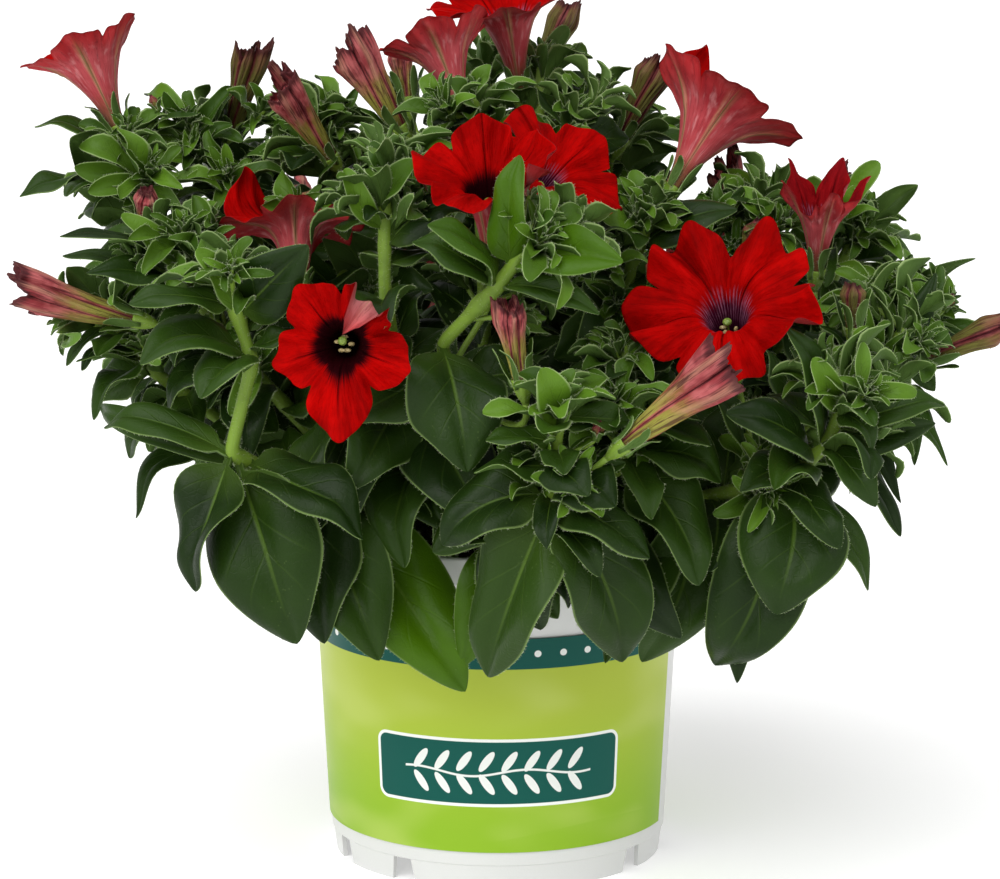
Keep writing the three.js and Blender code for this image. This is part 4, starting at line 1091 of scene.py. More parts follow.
# side sprays in front: the shoot, the tip of the spray, and its size
sprays = [
    (0, (-122, -25, 252), 1.15), (0, (-132, -5, 264), 0.85), (17, (-110, 2, 266), 0.95),
    (1, (-100, -68, 232), 1.0), (1, (-127, -58, 226), 0.9), (4, (-47, -88, 254), 1.0),
    (4, (-28, -96, 250), 1.0), (8, (24, -116, 248), 0.9), (12, (110, -118, 200), 1.1),
    (14, (132, -58, 213), 1.0), (12, (134, -82, 188), 0.9), (11, (38, -128, 190), 0.9),
    (5, (-70, -38, 240), 0.95), (6, (-20, -52, 278), 0.8), (16, (76, -30, 238), 0.8),
    (4, (-38, -84, 266), 1.2), (5, (-56, -16, 270), 1.0), (6, (-36, -28, 268), 0.9), (5, (-69, 0, 272), 0.9),
    (17, (-84, 8, 270), 0.8), (6, (-12, -8, 276), 0.8), (13, (128, -62, 214), 0.9), (15, (120, -4, 234), 0.9),
    (14, (156, -38, 206), 0.9), (12, (128, -104, 176), 0.9), (16, (100, -38, 236), 0.8),
    (17, (-109, -4, 258), 0.9), (5, (-77, 2, 258), 0.9), (5, (-56, -12, 254), 0.9),
    (17, (-96, -14, 250), 0.8), (0, (-126, -16, 244), 0.9), (7, (18, -22, 262), 0.9),
    (16, (78, -12, 236), 0.8), (1, (-104, -46, 216), 0.9),
]
# leaves in front that stand by themselves: the shoot, share of its stem, tip and width
loners = [
    (0, 0.93, (-150, -26, 264), 18), (0, 0.95, (-111, -6, 275), 12), (17, 0.9, (-96, 10, 276), 11),
    (13, 0.8, (150, -66, 222), 14), (14, 0.9, (168, -30, 222), 11), (15, 0.9, (150, -6, 246), 13),
    (12, 0.5, (118, -112, 130), 22), (3, 0.36, (-60, -114, 103), 34), (12, 0.3, (34, -108, 96), 26),
    (11, 0.3, (60, -110, 104), 28), (10, 0.8, (38, -150, 160), 24), (2, 0.5, (-128, -84, 150), 15),
    (2, 0.8, (-146, -60, 190), 8), (2, 0.9, (-138, -66, 194), 12), (12, 0.42, (80, -104, 86), 17),
    (14, 0.75, (146, -64, 158), 12), (14, 0.7, (140, -80, 148), 13), (1, 0.85, (-150, -58, 229), 13),
    (1, 0.9, (-138, -50, 236), 12), (3, 0.5, (-146, -62, 176), 12), (5, 0.6, (-62, -44, 236), 18),
    (5, 0.55, (-90, -26, 238), 19), (0, 0.7, (-124, -18, 228), 18), (17, 0.6, (-106, -12, 240), 18),
    (5, 0.8, (-58, -34, 258), 14), (7, 0.6, (22, -40, 250), 18), (14, 0.6, (130, -66, 172), 16),
]
# young leaves that show their faces to the front: the shoot, share of its stem, tip and width
facing = [
    (10, 0.9, (15, -154, 203), 13), (4, 0.9, (-50, -102, 262), 9), (12, 0.9, (104, -136, 203), 10),
    (3, 0.9, (-97, -124, 238), 10), (14, 0.9, (142, -44, 222), 10), (1, 0.9, (-126, -72, 243), 9),
]
# where the thick stems show, no further leaf is added: low and high corners
bareFronts = [
    ((-132, -175, 148), (-72, -78, 204)), ((-28, -170, 196), (2, -95, 224)),
    ((-52, -150, 205), (-34, -90, 240))]


def stemCurve(path):  # the stem's course, with its corners eased
    path = np.array([path[1] - 6 * up, *path[1:]])
    legs = np.linalg.norm(np.diff(path, axis=0), axis=1)
    at = np.concatenate([[0], np.cumsum(legs)])
    count = int(at[-1] / shootMake["step"])
    fine = np.stack([np.interp(np.linspace(0, at[-1], count), at, path[:, k]) for k in range(3)], 1)
    for _ in range(6):
        fine[1:-1] = (fine[:-2] + 2 * fine[1:-1] + fine[2:]) / 4
    return fine


def hairsOnTube(hairs, rings, axis, fuzz, rng):
    density, shortest, longest = fuzz
    rows, sides = rings.shape[:2]
    count = int(np.linalg.norm(np.diff(axis, axis=0), axis=1).sum() * density)
    row = rng.integers(1, rows - 1, count)
    col = rng.integers(0, sides, count)
    k = rng.uniform(0, 1, count)[:, None]
    root = rings[row, col] * (1 - k) + rings[row, (col + 1) % sides] * k
    rise = rings[np.minimum(row + 1, rows - 1), col] - rings[row, col]
    root = root + rise * rng.uniform(0, 1, count)[:, None]
    ways = units(root - axis[row]) + rng.normal(0, 0.25, (count, 3))
    hairs.add(root, ways, rng.uniform(shortest, longest, count))


# a flower's stalk and cup: heights and widths follow the cup up, and the lining goes down inside it
cupMake = dict(
    stalk=1.1, stalkSides=10, stalkRows=18, stalkBend=0.4, stalkFuzz=(5.0, 0.5, 1.2), sides=30, ribs=0.05,
    heights=(-calyx["neck"] - 0.6, -4.6, -3.2, -1.4, 0.6, 2.2, 3.0), foot=-calyx["neck"] - 1, well=-2.6,
    widths=(1.1, 1.6, 2.3, 2.85, 3.1, 3.25, 3.3), lining=((3.05, 2.8), (2.8, 0.5), (2.3, -1.5)),
    along=0.8, fuzz=(16.0, 0.5, 1.3))
sepalMake = dict(
    count=5, root=(2.9, 0.0), width=(3.0, 3.9), spread=(-0.8, 1.8), rise=(-1, 2.5), sink=0.3,
    curl=(-0.1, 0.3), grid=(10, 7), tint=0.4)
sepalForm = dict(fold=0.25, wave=0.03, phase=0.3)


def addCalyx(book, hairs, bloom, path, rng, tint):
    make = cupMake
    f = flowerFrame(bloom["base"], bloom.get("mouth", bloom.get("tip")))
    start, axis = stemAt(path, bloom["at"])
    end = placed(f, 0, 0, -calyx["neck"])
    reach = make["stalkBend"] * np.linalg.norm(start - end)
    line = bezier(start, start + axis * reach, end - f["axis"] * reach, end, make["stalkRows"])
    rings = addTube(book, line, make["stalk"], make["stalkSides"], 2, tint)
    hairsOnTube(hairs, rings, line, make["stalkFuzz"], rng)
    a = circle(make["sides"])
    ribs = 1 + make["ribs"] * np.cos(5 * a)
    cup = [placed(f, a, r * ribs, h) for r, h in zip(make["widths"], make["heights"])]
    rings = np.array(cup + [placed(f, a, r, h) for r, h in make["lining"]])
    growth = np.array([growthRow(make["along"], a, tint)] * len(rings))
    addRings(book, rings, 2, growth, placed(f, [0, 0], [0, 0], [make["foot"], make["well"]]))
    middles = np.array([placed(f, 0, 0, h) for h in make["heights"]])
    hairsOnTube(hairs, np.array(cup), middles, make["fuzz"], rng)
    addTeeth(book, hairs, f, rng)


def addTeeth(book, hairs, f, rng):
    make = sepalMake
    for k in range(make["count"]):
        a = 2 * pi * (k + 0.5) / make["count"]
        spread = rng.uniform(*make["spread"])
        width = rng.uniform(*make["width"])
        rise = calyx["tooth"] + rng.uniform(*make["rise"]) - make["sink"] * spread
        leaf = dressed(dict(
            root=placed(f, a, *make["root"]), tip=placed(f, a, calyx["toothRadius"] + spread, rise),
            face=f["base"] - placed(f, a, 1, 0),  # a sepal's upper side is turned to the flower
            width=width, small=True, curl=rng.uniform(*make["curl"]), **sepalForm), rng, True)
        addLeaf(book, hairs, leaf, *make["grid"], 1 + rng.uniform(0.0, make["tint"]), rng)


# further leaves lie above the lowest height, clear of the pot, and a margin inside the solids' box
openSpace = dict(lowest=80, potRadius=74, potTop=127, margin=4)


def isOpenSpace(probe):
    radius = np.hypot(probe[:, 0], probe[:, 1])
    overPot = (radius < openSpace["potRadius"]) & (probe[:, 2] < openSpace["potTop"])
    if (probe[:, 2] < openSpace["lowest"]).any() or overPot.any():
        return False
    if any(((probe > low) & (probe < high)).all(1).any() for low, high in bareFronts):
        return False
    low, high = np.array(cadBox[0]) / mm + openSpace["margin"], np.array(cadBox[1]) / mm - openSpace["margin"]
    return (probe > low).all() and (probe < high).all() and room.isFree(probe)


extraMake = dict(
    count=26, tries=300, share=(0.12, 0.96), power=0.8, length=(50, 21), vary=(0.7, 1.15), splay=(50, 100),
    droop=0.25, width=(0.5, 0.7), small=0.4, swing=0.35)
extraForm = dict(curl=(0.2, 1.0), fold=(0.15, 0.6), wave=(0.04, 0.14), phase=(0, 1))


def extraLeaves(shoot, path, rng):  # more of the same kind of leaves, where there is room
    make = extraMake
    leaves = []
    for _ in range(make["tries"]):
        if len(leaves) >= make["count"]:
            break
        share = rng.uniform(*make["share"]) ** make["power"]
        length = mix(*make["length"], share) * rng.uniform(*make["vary"])
        bearing = rng.uniform(-pi, pi)
        splay = radians(rng.uniform(*make["splay"]))
        root, tip = leafAlong(shoot, path, share, bearing, splay, length, make["droop"] * (1 - share))
        width = length * rng.uniform(*make["width"])
        face = leafFacing(root, rng.random() < make["small"], rng.uniform(-make["swing"], make["swing"]))
        leaf = dressed(dict(
            root=root, tip=tip, width=width, small=True, share=share, face=face,
            **drawn(rng, extraForm)), rng)
        if isOpenSpace(leafProbe(leaf)) and isClearOfPetals(leaf):
            leaves.append(leaf)
            room.take(leafPlaces(leaf, *looksAt["extra"]))
    return leaves


# pairs run from a tuft's middle leaf to its outermost one, or from the least draw to the greatest
tuftMake = dict(
    turn=2.4, vary=(-0.5, 0.5), splay=(0.1, 1.35), splayVary=(0.65, 1.2), length=(7, 27),
    lengthVary=(0.7, 1.3), longest=29, depth=12, width=(0.3, 0.44), widest=10.5, curl=(-0.6, 1.0),
    curlVary=(-0.4, 0.45), fold=(1.15, 0.6), foldVary=(0.7, 1.2))
tuftForm = dict(wave=(0.04, 0.16), phase=(0, 1))


def tuftLeaves(point, axis, count, size, rng):  # young folded leaves round a growing tip
    make = tuftMake
    leaves = []
    side = square(vec(0.4, 0.7, 0.1), axis)
    for k in range(count):
        q = (k + 0.5) / count
        a = k * make["turn"] + rng.uniform(*make["vary"])
        splay = mix(*make["splay"], q**0.8) * rng.uniform(*make["splayVary"])
        away = side * cos(a) + np.cross(axis, side) * sin(a)
        length = min(mix(*make["length"], q**1.2) * size * rng.uniform(*make["lengthVary"]), make["longest"])
        root = point - axis * (0.3 + make["depth"] * size * q)
        width = min(length * rng.uniform(*make["width"]), make["widest"])
        curl = mix(*make["curl"], q) + rng.uniform(*make["curlVary"])
        fold = mix(*make["fold"], q) * rng.uniform(*make["foldVary"])
        leaves.append(dressed(dict(
            root=root, tip=root + unit(axis * cos(splay) + away * sin(splay)) * length, width=width,
            small=True, face=axis - 0.5 * away, curl=curl, fold=fold, **drawn(rng, tuftForm)), rng, True))
    return [leaf for leaf in leaves if isClearOfPetals(leaf)]


sideMake = dict(
    count=7, tries=28, leaves=14, share=(0.45, 0.95), length=(9, 24), splay=(0.5, 1.0), droop=-0.15,
    size=(0.6, 0.95), bends=(0.4, 0.3), rows=8)


def sideTufts(shoot, path, rng):  # short side branches that end in a tuft
    make = sideMake
    tufts = []
    for _ in range(make["tries"]):
        if len(tufts) >= make["count"]:
            break
        share = rng.uniform(*make["share"])
        length = rng.uniform(*make["length"])
        bearing = rng.uniform(-pi, pi)
        root, tip = leafAlong(shoot, path, share, bearing, rng.uniform(*make["splay"]), length, make["droop"])
        way = unit(tip - root)
        leaves = tuftLeaves(tip, way, make["leaves"], rng.uniform(*make["size"]), rng)
        probe = np.array([leaf["tip"] for leaf in leaves] + [tip])
        if isOpenSpace(probe):
            low, high = make["bends"]
            line = bezier(root, root + way * length * low, tip - way * length * high, tip, make["rows"])
            tufts.append((line, leaves))
            room.take(probe)
            room.take(np.array([leaf["root"] * 0.5 + leaf["tip"] * 0.5 for leaf in leaves]))
    return tufts


twigMake = dict(share=(0.3, 0.99), places=40, rise=6, tooLow=30, lift=0.6, bend=0.4, rows=10)


def twigTo(path, tip):  # from the nearest place on the stem below the tip, and the way it arrives
    make = twigMake
    places = np.array([stemAt(path, q)[0] for q in np.linspace(*make["share"], make["places"])])
    ways = tip - places
    root = places[np.argmin(np.linalg.norm(ways, axis=1) + make["tooLow"] * (ways[:, 2] < make["rise"]))]
    way = unit(unit(tip - root) + make["lift"] * up)
    far = np.linalg.norm(tip - root)
    bend = make["bend"]
    return bezier(root, root + (tip - root) * bend, tip - way * far * bend, tip, make["rows"]), way


lonerMake = dict(small=16, swing=0.3)  # narrower leaves have the stalk of a small one
lonerForm = dict(curl=(0.3, 0.8), fold=(0.1, 0.35), wave=(0.04, 0.1), phase=(0, 1))


def lonerLeaf(path, share, tip, width, rng):
    root = stemAt(path, share)[0]
    face = leafFacing(root, False, rng.uniform(-lonerMake["swing"], lonerMake["swing"]))
    return dressed(dict(
        root=root, tip=vec(*tip), width=width, small=width < lonerMake["small"], share=share, face=face,
        **drawn(rng, lonerForm)), rng)


# small shut buds: the shoot, the bud's tip, its length and its width
smallBuds = [
    (4, (-24, -100, 265), 15, 6), (16, (91, -40, 237), 13, 6.5), (9, (54, -80, 228), 9, 6),
    (16, (116, -30, 246), 10, 7), (14, (158, -50, 212), 6, 3.5), (0, (-124, 0, 276), 6, 3),
    (10, (33, -141, 184), 7, 4), (20, (124, 62, 200), 9, 4), (21, (98, 112, 228), 11, 5),
    (22, (48, 112, 262), 10, 5), (23, (38, 154, 194), 8, 4), (24, (-30, 128, 248), 11, 5),
    (26, (-104, 80, 252), 9, 4.5), (27, (-140, 68, 200), 9, 4), (28, (-12, 80, 292), 8, 4),
]


budMake = dict(
    sides=40, rows=16, foot=0.35, full=0.6, taper=0.72, taperFrom=0.62, taperOver=0.38, pleat=0.2,
    uneven=0.05, unevenFrom=0.7, unevenOver=0.3, twist=0.9, ends=(-0.3, 0.97))
budSepals = dict(
    count=4, vary=(-0.3, 0.3), out=0.5, long=(0.5, 0.8), spread=(2, 4), width=(1.8, 2.6), grid=(8, 7),
    tint=0.6)
budSepalForm = dict(curl=0.2, fold=0.2, wave=0.03, phase=0.3)


def addSmallBud(book, tip, way, long, wide, rng):
    make = budMake
    f = flowerFrame(tip - way * long, tip)
    a = circle(make["sides"])
    turns = rng.uniform(0, 2 * pi, 2)
    rings, growth = [], []
    for t in np.linspace(0, 1, make["rows"]):
        taper = 1 - make["taper"] * smooth((t - make["taperFrom"]) / make["taperOver"])
        swell = wide / 2 * (make["foot"] + (1 - make["foot"]) * smooth(t / make["full"])) * taper
        pleats = 1 + make["pleat"] * t * np.cos(5 * a + 0.5 * np.sin(a + turns[0]))
        rim = make["uneven"] * long * smooth((t - make["unevenFrom"]) / make["unevenOver"])
        high = t * long + rim * np.sin(3 * a + turns[1])
        rings.append(placed(f, a + make["twist"] * t, swell * pleats, high))
        growth.append(growthRow(t, a, rng.uniform(0, 1)))
    low, high = make["ends"]
    addRings(book, np.array(rings), 0, np.array(growth), placed(f, [0, 0], [0, 0], [low, long * high]))


def addSepals(book, hairs, foot, way, long, rng):
    make = budSepals
    side = square(vec(0.5, 0.3, 0.1), way)
    for k in range(make["count"]):
        a = k * 2 * pi / make["count"] + rng.uniform(*make["vary"])
        away = side * cos(a) + np.cross(way, side) * sin(a)
        tip = foot + way * long * rng.uniform(*make["long"]) + away * rng.uniform(*make["spread"])
        leaf = dressed(dict(
            root=foot + away * make["out"], tip=tip, width=rng.uniform(*make["width"]), small=True,
            face=-away, **budSepalForm), rng, True)
        addLeaf(book, hairs, leaf, *make["grid"], 1 + rng.uniform(0, make["tint"]), rng)


budBook = Book()
freshShoots = {10: 0.5, 8: 0.3, 4: 0.25, 3: 0.15, 12: 0.1}  # how much lighter these shoots' young leaves are


def addYoung(book, hairs, leaves, rows, i, rng):
    for leaf in leaves:
        tint = 1 + min(0.99, rng.uniform(0.05, 0.95) + freshShoots.get(i, 0))
        addLeaf(book, hairs, leaf, rows, 7, tint, rng)


def addTwig(book, hairs, line, radius, fuzz, tint, rng):
    hairsOnTube(hairs, addTube(book, line, radius, 8, 2, tint), line, fuzz, rng)


def ofShoot(table, i):  # the table's lines for shoot i, without its number
    return [entry[1:] for entry in table if entry[0] == i]


def makeShoot(i, shoot, path):
    make = shootMake
    rng = np.random.default_rng(500 + i)
    book, hairs = Book(), Hairs()
    tint = rng.random()
    line = stemCurve(path)
    along = np.linspace(0, 1, len(line))
    radii = mix(make["low"], make["high"], along)
    for leaf in grown[i]:
        radii = radii + make["bulge"] * np.exp(-((along - leaf["share"]) * make["bulgeEnds"]) ** 2)
    hairsOnTube(hairs, addTube(book, line, radii, make["sides"], 2, tint), line, make["fuzz"], rng)
    for bloom in flowers + closed:
        if bloom["on"] == i:
            addCalyx(book, hairs, bloom, path, rng, tint)
    for leaf in grown[i]:
        addLeaf(book, hairs, leaf, *make["smallGrid" if leaf["small"] else "largeGrid"], leaf["tint"], rng)
    for line, leaves in sideTufts(shoot, path, rng):
        addTwig(book, hairs, line, make["sideTwig"], make["sideFuzz"], tint, rng)
        addYoung(book, hairs, leaves, 9, i, rng)
    for tip, size in ofShoot(sprays, i):
        line, way = twigTo(path, vec(*tip))
        addTwig(book, hairs, line, make["sprayTwig"], make["sprayFuzz"], tint, rng)
        addYoung(book, hairs, tuftLeaves(vec(*tip), way, make["spray"], size, rng), 10, i, rng)
    for tip, long, wide in ofShoot(smallBuds, i):
        way = unit(up + make["budLean"] * outward(tip))
        foot = vec(*tip) - way * long
        addTube(book, twigTo(path, foot)[0], make["budTwig"], 8, 2, tint)
        addSepals(book, hairs, foot, way, long, rng)
        addSmallBud(budBook, vec(*tip), way, long, wide, rng)
    for share, tip, width in ofShoot(loners, i):
        leaf = lonerLeaf(path, share, tip, width, rng)
        room.take(leafProbe(leaf))
        addLeaf(book, hairs, leaf, *make["lonerGrid"], rng.uniform(*make["tints"]), rng)
    for share, tip, width in ofShoot(facing, i):
        leaf = lonerLeaf(path, share, tip, width, rng)
        leaf.update(young=True, small=True, face=vec(0.2, -1, 0.4), curl=make["facingCurl"])
        addLeaf(book, hairs, leaf, *make["facingGrid"], make["facingTint"], rng)
    for leaf in extraLeaves(shoot, path, rng):
        addLeaf(book, hairs, leaf, *make["smallGrid"], rng.uniform(*make["tints"]), rng)
    point, axis = stemAt(path, 0.999)
    addYoung(book, hairs, tuftLeaves(point, axis, make["tuft"], 1.0, rng), 9, i, rng)
    looks = [leafTop, leafUnder, stemSkin]
    book.build(f"leafyShoot{i + 1:02d}", looks, "leaf_and_stem", f"leafy_shoot_{i + 1:02d}")
    hairs.build(f"shootHairs{i + 1:02d}", make["hairThick"], paleHairs, "leaf_and_stem")


for path in paths:
    room.take(tubeRings(stemCurve(path), shootMake["taken"], 8))
for i, (shoot, path) in enumerate(zip(shoots, paths)):
    makeShoot(i, shoot, path)
budBook.build("smallBuds", [wiltedSkin], "wilted_petal")
print("leafy shoots:", len(shoots))

# pot, label and potting mix

sharpAngle = radians(32)  # edges of the pot and label where the faces turn by more stay sharp
potColours = dict(plastic=(0.66, 0.665, 0.65), shade=(0.58, 0.585, 0.57))


def potPaint():
    paint = Paint("whitePlastic", potColours, Roughness=0.32, Coat_Weight=0.15, Coat_Roughness=0.2)
    where = paint.place()
    cloud = paint.noise(where, 14.0, 3.0)
    grain = paint.noise(where, 1300.0, 2.0)
    scuffs = paint.noise(paint.place(9.0, 9.0, 60.0), 12.0, 4.0).step(0.6, 0.75)
    paint.coat(cloud, "shade", "plastic")
    return paint.finish(0.26 + cloud * 0.1 + scuffs * 0.1, (grain + cloud, 0.0001, 0.5))


def wallRadius(z):
    return mix(pot["seamRadius"], pot["collarRadius"], (z - pot["seam"]) / (pot["collar"] - pot["seam"]))


def addTurned(book, profile, sides, look):  # a closed ring-shaped body; the profile runs anticlockwise
    angles = circle(sides)
    r, z = np.array(profile, float).T
    heights = np.broadcast_to(z, (sides, len(z)))
    rings = np.stack([np.outer(np.sin(angles), r), -np.outer(np.cos(angles), r), heights], -1)
    count = len(profile)
    i = np.arange(sides)[:, None] * count
    n = (np.arange(sides)[:, None] + 1) % sides * count
    j, k = np.arange(count), (np.arange(count) + 1) % count
    quads = np.stack([i + j, i + k, n + k, n + j], -1).reshape(-1, 4)
    book.add(rings, quads, look)


def eased(profile, radius, steps=3):  # rounds a profile's corners
    points = [vec(*p) for p in profile]
    out = []
    for i, p in enumerate(points):
        before, after = points[i - 1], points[(i + 1) % len(points)]
        near = p + unit(before - p) * min(radius, np.linalg.norm(before - p) / 2.2)
        far = p + unit(after - p) * min(radius, np.linalg.norm(after - p) / 2.2)
        for t in np.linspace(0, 1, steps):
            out.append((1 - t) ** 2 * near + 2 * t * (1 - t) * p + t * t * far)
    return np.array(out)


potMake = dict(
    sides=216, roundness=0.45, floorSides=144, lap=0.02, lip=0.2, footStep=2, footRows=6, footLap=0.1,
    footEdge=0.5, footWidth=0.9)


def makePot():
    book = Book()
    make = potMake
    thick, seam, collar, top = pot["wall"], pot["seam"], pot["collar"], pot["height"]
    low, bend, rim = pot["seamRadius"], pot["collarRadius"], pot["rimRadius"]
    floor, shelf = seam + thick, collar + thick
    inside = wallRadius(floor) - thick
    wall = [
        (low - 3, seam), (low - 0.5, seam), (low, seam + 0.4), (bend, collar), (rim - 0.2, collar),
        (rim, collar + 0.3), (rim, top - 0.8), (rim - 0.6, top), (rim - thick, top), (rim - thick, shelf),
        (bend - thick, shelf), (inside, floor), (inside - 1.5, floor)]
    addTurned(book, eased(wall, make["roundness"])[::-1], make["sides"], 0)
    addFloor(book, seam + make["lap"], floor - make["lap"], inside - make["lip"])
    outer, inner = pot["footRadius"], pot["footRadius"] - thick
    section = [
        (inner, 0), (outer, 0), (low - make["footEdge"], seam + make["footLap"]),
        (inner + make["footWidth"], seam + make["footLap"])]
    r, z = np.array(section, float).T
    spread = np.radians(notches["spread"]) * (1 - np.minimum(z / notches["height"], 1))
    cuts = []
    for i in range(notches["count"]):
        first = notches["first"] + i * 360 / notches["count"]
        for start in (first, first + notches["narrow"] + notches["foot"]):
            cuts.append((start, start + notches["narrow"]))
    cuts.sort()
    for (_, start), (end, _) in zip(cuts, cuts[1:] + [(cuts[0][0] + 360, 0)]):
        count = max(make["footRows"], int((end - start) / make["footStep"]))
        angles = np.radians(np.linspace(start, end, count))[:, None] + 0 * r
        angles[0] += spread
        angles[-1] -= spread
        rings = np.stack([r * np.sin(angles), -r * np.cos(angles), z + 0 * angles], -1)
        addRings(book, rings, 0, np.zeros(rings.shape), (rings[0].mean(0), rings[-1].mean(0)))
    piece = book.build("nurseryPot", [potPaint()], "pot_plastic", "pot")
    piece.data.set_sharp_from_angle(angle=sharpAngle)


def atHeight(points, z):
    return np.c_[points, np.full(len(points), z)]


def addFloor(book, low, high, radius):  # the pot's floor, a disc with round drain holes
    count, holes = potMake["floorSides"], drain["count"]
    step = count // holes
    rim = np.array([[radius * cos(a), radius * sin(a)] for a in circle(count)])
    for q in range(holes):
        a = 2 * pi * (q + 0.5) / holes
        hole = drain["circle"] * np.array([cos(a), sin(a)])
        outline = np.array([*rim[[(q * step + k) % count for k in range(step + 1)]], (0, 0)])
        angles = np.arctan2(outline[:, 1] - hole[1], outline[:, 0] - hole[0])
        lip = hole + drain["radius"] * np.stack([np.cos(angles), np.sin(angles)], 1)
        n = len(outline)
        j, k = np.arange(n), (np.arange(n) + 1) % n
        quads = np.stack([j, k, n + k, n + j], 1)
        book.add(np.concatenate([atHeight(outline, high), atHeight(lip, high)]), quads, 0)
        book.add(np.concatenate([atHeight(outline, low), atHeight(lip, low)]), quads[:, ::-1], 0)
        book.add(np.concatenate([atHeight(lip, high), atHeight(lip, low)]), quads, 0)


makePot()

labelColours = dict(
    lime=(0.4, 0.49, 0.05), green=(0.24, 0.42, 0.02), deep=(0.002, 0.08, 0.062), white=(0.8, 0.82, 0.78),
    light=(0.54, 0.62, 0.18))
labelMake = dict(
    bandLow=81.5, panelHalf=46, panelLow=31, panelHigh=56, corner=4, border=1.1, fade=0.1, stemHalf=34.0,
    leafStep=8.0, leafOut=4.2, leavesHalf=31.9, dotStep=9.0, dotHigh=5.5, step=1.5, rows=24, lap=0.05,
    middle=50)


def labelPaint():
    make = labelMake
    paint = Paint("printedFilm", labelColours, Roughness=0.35, Specular_IOR_Level=0.14)
    arc, z, _ = paint.spread()
    paint.coat(z.step(80.0, 16.0), "green", "lime")
    glow = paint.noise(paint.join(arc * 0.01, z * 0.02), 2.0, 1.0)
    paint.coat(glow.step(0.45, 0.7) * 0.35, "light")
    sweep = (z - 18.0 - (arc * 0.035).sine() * 5.0).step(0.6, 0.0)
    paint.coat(sweep * 0.5, "green")
    mid = (make["panelLow"] + make["panelHigh"]) / 2
    tall = (make["panelHigh"] - make["panelLow"]) / 2 - make["corner"]
    dx = (abs(arc) - (make["panelHalf"] - make["corner"])).atLeast(0.0)
    dz = (abs(z - mid) - tall).atLeast(0.0)
    reach = (dx * dx + dz * dz) ** 0.5
    fade, corner, gap, dotGap = make["fade"], make["corner"], make["leafStep"], make["dotStep"]
    paint.coat(reach.step(corner + fade, corner - fade), "white")
    corner = corner - make["border"]
    paint.coat(reach.step(corner + fade, corner - fade), "deep")
    # a plain sprig: paired leaves along a thin wavy stem
    ends = abs(arc).step(make["stemHalf"] + 0.2, make["stemHalf"])
    sprig = abs(z - mid - (arc * 0.16).sine() * 1.2).step(0.5, 0.3) * ends
    along = (arc / gap).fraction() * gap - gap / 2
    tall = abs(z - mid) - make["leafOut"]
    lean = (along - tall * 0.6) ** 2.0 * 0.32 + tall * tall * 0.07
    leaves = lean.step(1.02, 0.9) * abs(arc).step(make["leavesHalf"] + 0.2, make["leavesHalf"])
    paint.coat(sprig.atLeast(leaves) * 0.92, "white")
    paint.coat(z.step(make["bandLow"] - fade, make["bandLow"] + fade), "deep")
    high = z - make["bandLow"] - make["dotHigh"]
    dot = (((arc / dotGap).fraction() - 0.5) * dotGap) ** 2.0 + high ** 2.0
    paint.coat(dot.step(1.7, 1.2), "white")
    return paint.finish(None, (paint.noise(paint.place(), 90.0, 2.0) * 0.5, 0.0003, 0.15))


def makeLabel():
    book = Book()
    make = labelMake
    heights = np.linspace(label["bottom"], label["top"], make["rows"])
    z = np.concatenate([heights, heights[::-1]])
    r = wallRadius(z) + label["gap"] + np.repeat([make["lap"], label["film"]], make["rows"])
    count = int(label["turn"] / make["step"])
    rings, growth = [], []
    for bearing in label["start"] + label["turn"] * np.arange(count + 1) / count:
        a = radians(bearing)
        rings.append(np.stack([r * sin(a), -r * cos(a), z], 1))
        arc = radians(bearing - 360) * wallRadius(make["middle"])
        growth.append(np.stack([np.full_like(z, arc), z, 0 * z], 1))
    rings = np.array(rings)
    addRings(book, rings, 0, np.array(growth), (rings[0].mean(0), rings[-1].mean(0)))
    piece = book.build("wrapLabel", [labelPaint()], "label_film", "label_wrap")
    piece.data.set_sharp_from_angle(angle=sharpAngle)


makeLabel()


soilMake = dict(
    dark=(0.016, 0.01, 0.007), light=(0.07, 0.045, 0.028), sides=96, rows=34, lip=0.2, middle=60,
    middleLip=0.6, centre=1.2, sink=0.6, rough=0.45, low=108, high=110.6, crumbs=700, size=(0.5, 1.9),
    flat=(0.35, 0.8), spread=0.97, crumbSink=0.2, top=0.4)


def soilPaint():
    paint = Paint("darkPeat", soilMake, Roughness=0.9)
    where = paint.place()
    crumbs = paint.cells(where, 500.0)
    cloud = paint.noise(where, 160.0, 4.0)
    paint.coat(cloud.step(0.3, 0.75), "light", "dark")
    return paint.finish(None, (crumbs + cloud, 0.001, 1.0))


def makeSoil():
    book = Book()
    make = soilMake
    rng = np.random.default_rng(7)
    angles = circle(make["sides"])
    bottom = pot["seam"] + pot["wall"] + soil["gap"]
    radius = wallRadius(soil["top"]) - pot["wall"] - soil["gap"] - make["lip"]
    rows = [
        (wallRadius(bottom) - pot["wall"] - soil["gap"] - make["lip"], bottom),
        (wallRadius(make["middle"]) - pot["wall"] - make["middleLip"], make["middle"])]
    for r in np.linspace(radius, make["centre"], make["rows"]):
        z = soil["top"] - make["sink"] + rng.normal(0, make["rough"], make["sides"]) * (r > 2)
        rows.append((r, np.clip(z, make["low"], make["high"])))
    rings = np.array([np.stack([r * np.cos(angles), r * np.sin(angles), z + 0 * angles], 1) for r, z in rows])
    ends = (vec(0, 0, bottom), vec(0, 0, soil["top"] - make["top"]))
    addRings(book, rings, 0, np.zeros(rings.shape), ends)
    for _ in range(make["crumbs"]):
        a, r = rng.uniform(0, 2 * pi), radius * make["spread"] * sqrt(rng.random())
        axis = unit(rng.normal(0, 1, 3))
        size = rng.uniform(*make["size"])
        where = vec(r * cos(a), r * sin(a), soil["top"] - make["crumbSink"])
        addBall(book, where, axis, size, size * rng.uniform(*make["flat"]), 0, 4, 6)
    book.build("pottingMix", [soilPaint()], "potting_mix", "potting_soil")


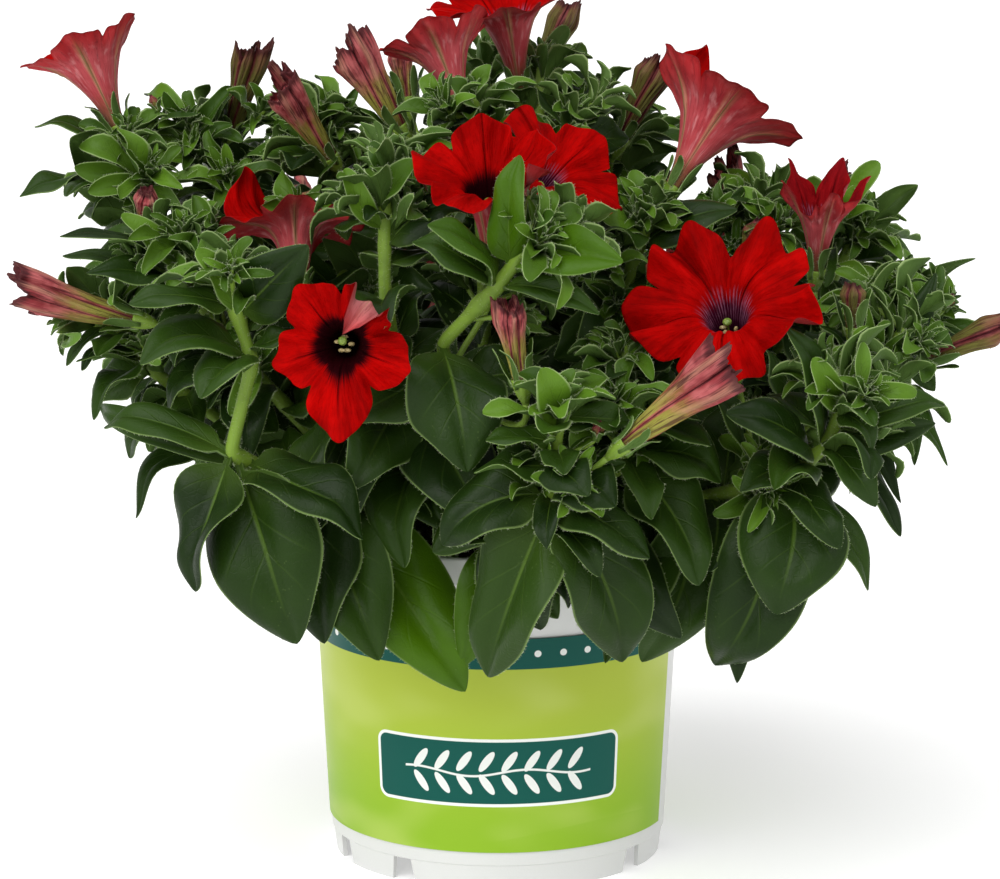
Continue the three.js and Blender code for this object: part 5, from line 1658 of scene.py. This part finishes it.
makeSoil()
print("pot, label and potting mix made")

# floor, light and camera


stageMake = dict(half=9.0, white=(0.9, 0.9, 0.9, 1), glow=0.3)
cameraMake = dict(
    sensor=36, lens=144.65, near=0.05, far=40, place=(0, -1.43, 0.424), target=(0.0007, 0, 0.151))
lightMake = dict(
    target=(0, 0, 0.17),
    world=0.55, sunAngle=64, sunPower=2.3, sunFrom=(-0.6, -1.3, 1.9),
    lamps=dict(leftLight=((-1.3, -1.2, 0.9), 1.0, 6.0), rightLight=((1.4, -1.0, 1.0), 0.8, 4.0)))


def makeStage():
    mesh = bpy.data.meshes.new("paleFloor")
    s = stageMake["half"]
    mesh.from_pydata([(-s, -s, 0), (s, -s, 0), (s, s, 0), (-s, s, 0)], [], [(0, 1, 2, 3)])
    floor = bpy.data.objects.new("paleFloor", mesh)
    bpy.context.scene.collection.objects.link(floor)
    paper = Paint(
        "palePaper", Base_Color=stageMake["white"], Roughness=0.9, Emission_Color=(1, 1, 1, 1),
        Emission_Strength=stageMake["glow"])
    mesh.materials.append(paper.material)


def makeLights():
    world = bpy.data.worlds.new("softStudio")
    world.use_nodes = True
    world.node_tree.nodes["Background"].inputs[0].default_value = (1.0, 1.0, 1.0, 1)
    world.node_tree.nodes["Background"].inputs[1].default_value = lightMake["world"]
    bpy.context.scene.world = world
    for name, (where, size, power) in lightMake["lamps"].items():
        lamp = bpy.data.lights.new(name, "AREA")
        lamp.size, lamp.energy = size, power
        aim(bpy.data.objects.new(name, lamp), where, lightMake["target"])
    sun = bpy.data.lights.new("softSun", "SUN")
    sun.angle, sun.energy = radians(lightMake["sunAngle"]), lightMake["sunPower"]
    aim(bpy.data.objects.new("softSun", sun), lightMake["sunFrom"], lightMake["target"])


def aim(holder, where, target):  # links a lamp or the camera, placed at where and looking at the target
    holder.location = where
    holder.rotation_mode = "QUATERNION"
    holder.rotation_quaternion = (Vector(target) - Vector(where)).to_track_quat("-Z", "Y")
    bpy.context.scene.collection.objects.link(holder)


def makeCamera():
    make = cameraMake
    data = bpy.data.cameras.new("photoView")
    data.sensor_fit, data.sensor_width, data.lens = "HORIZONTAL", make["sensor"], make["lens"]
    data.clip_start, data.clip_end = make["near"], make["far"]
    camera = bpy.data.objects.new("photoView", data)
    aim(camera, make["place"], make["target"])
    bpy.context.scene.camera = camera


makeStage()
makeLights()
makeCamera()
bpy.context.scene.view_settings.view_transform = "Standard"
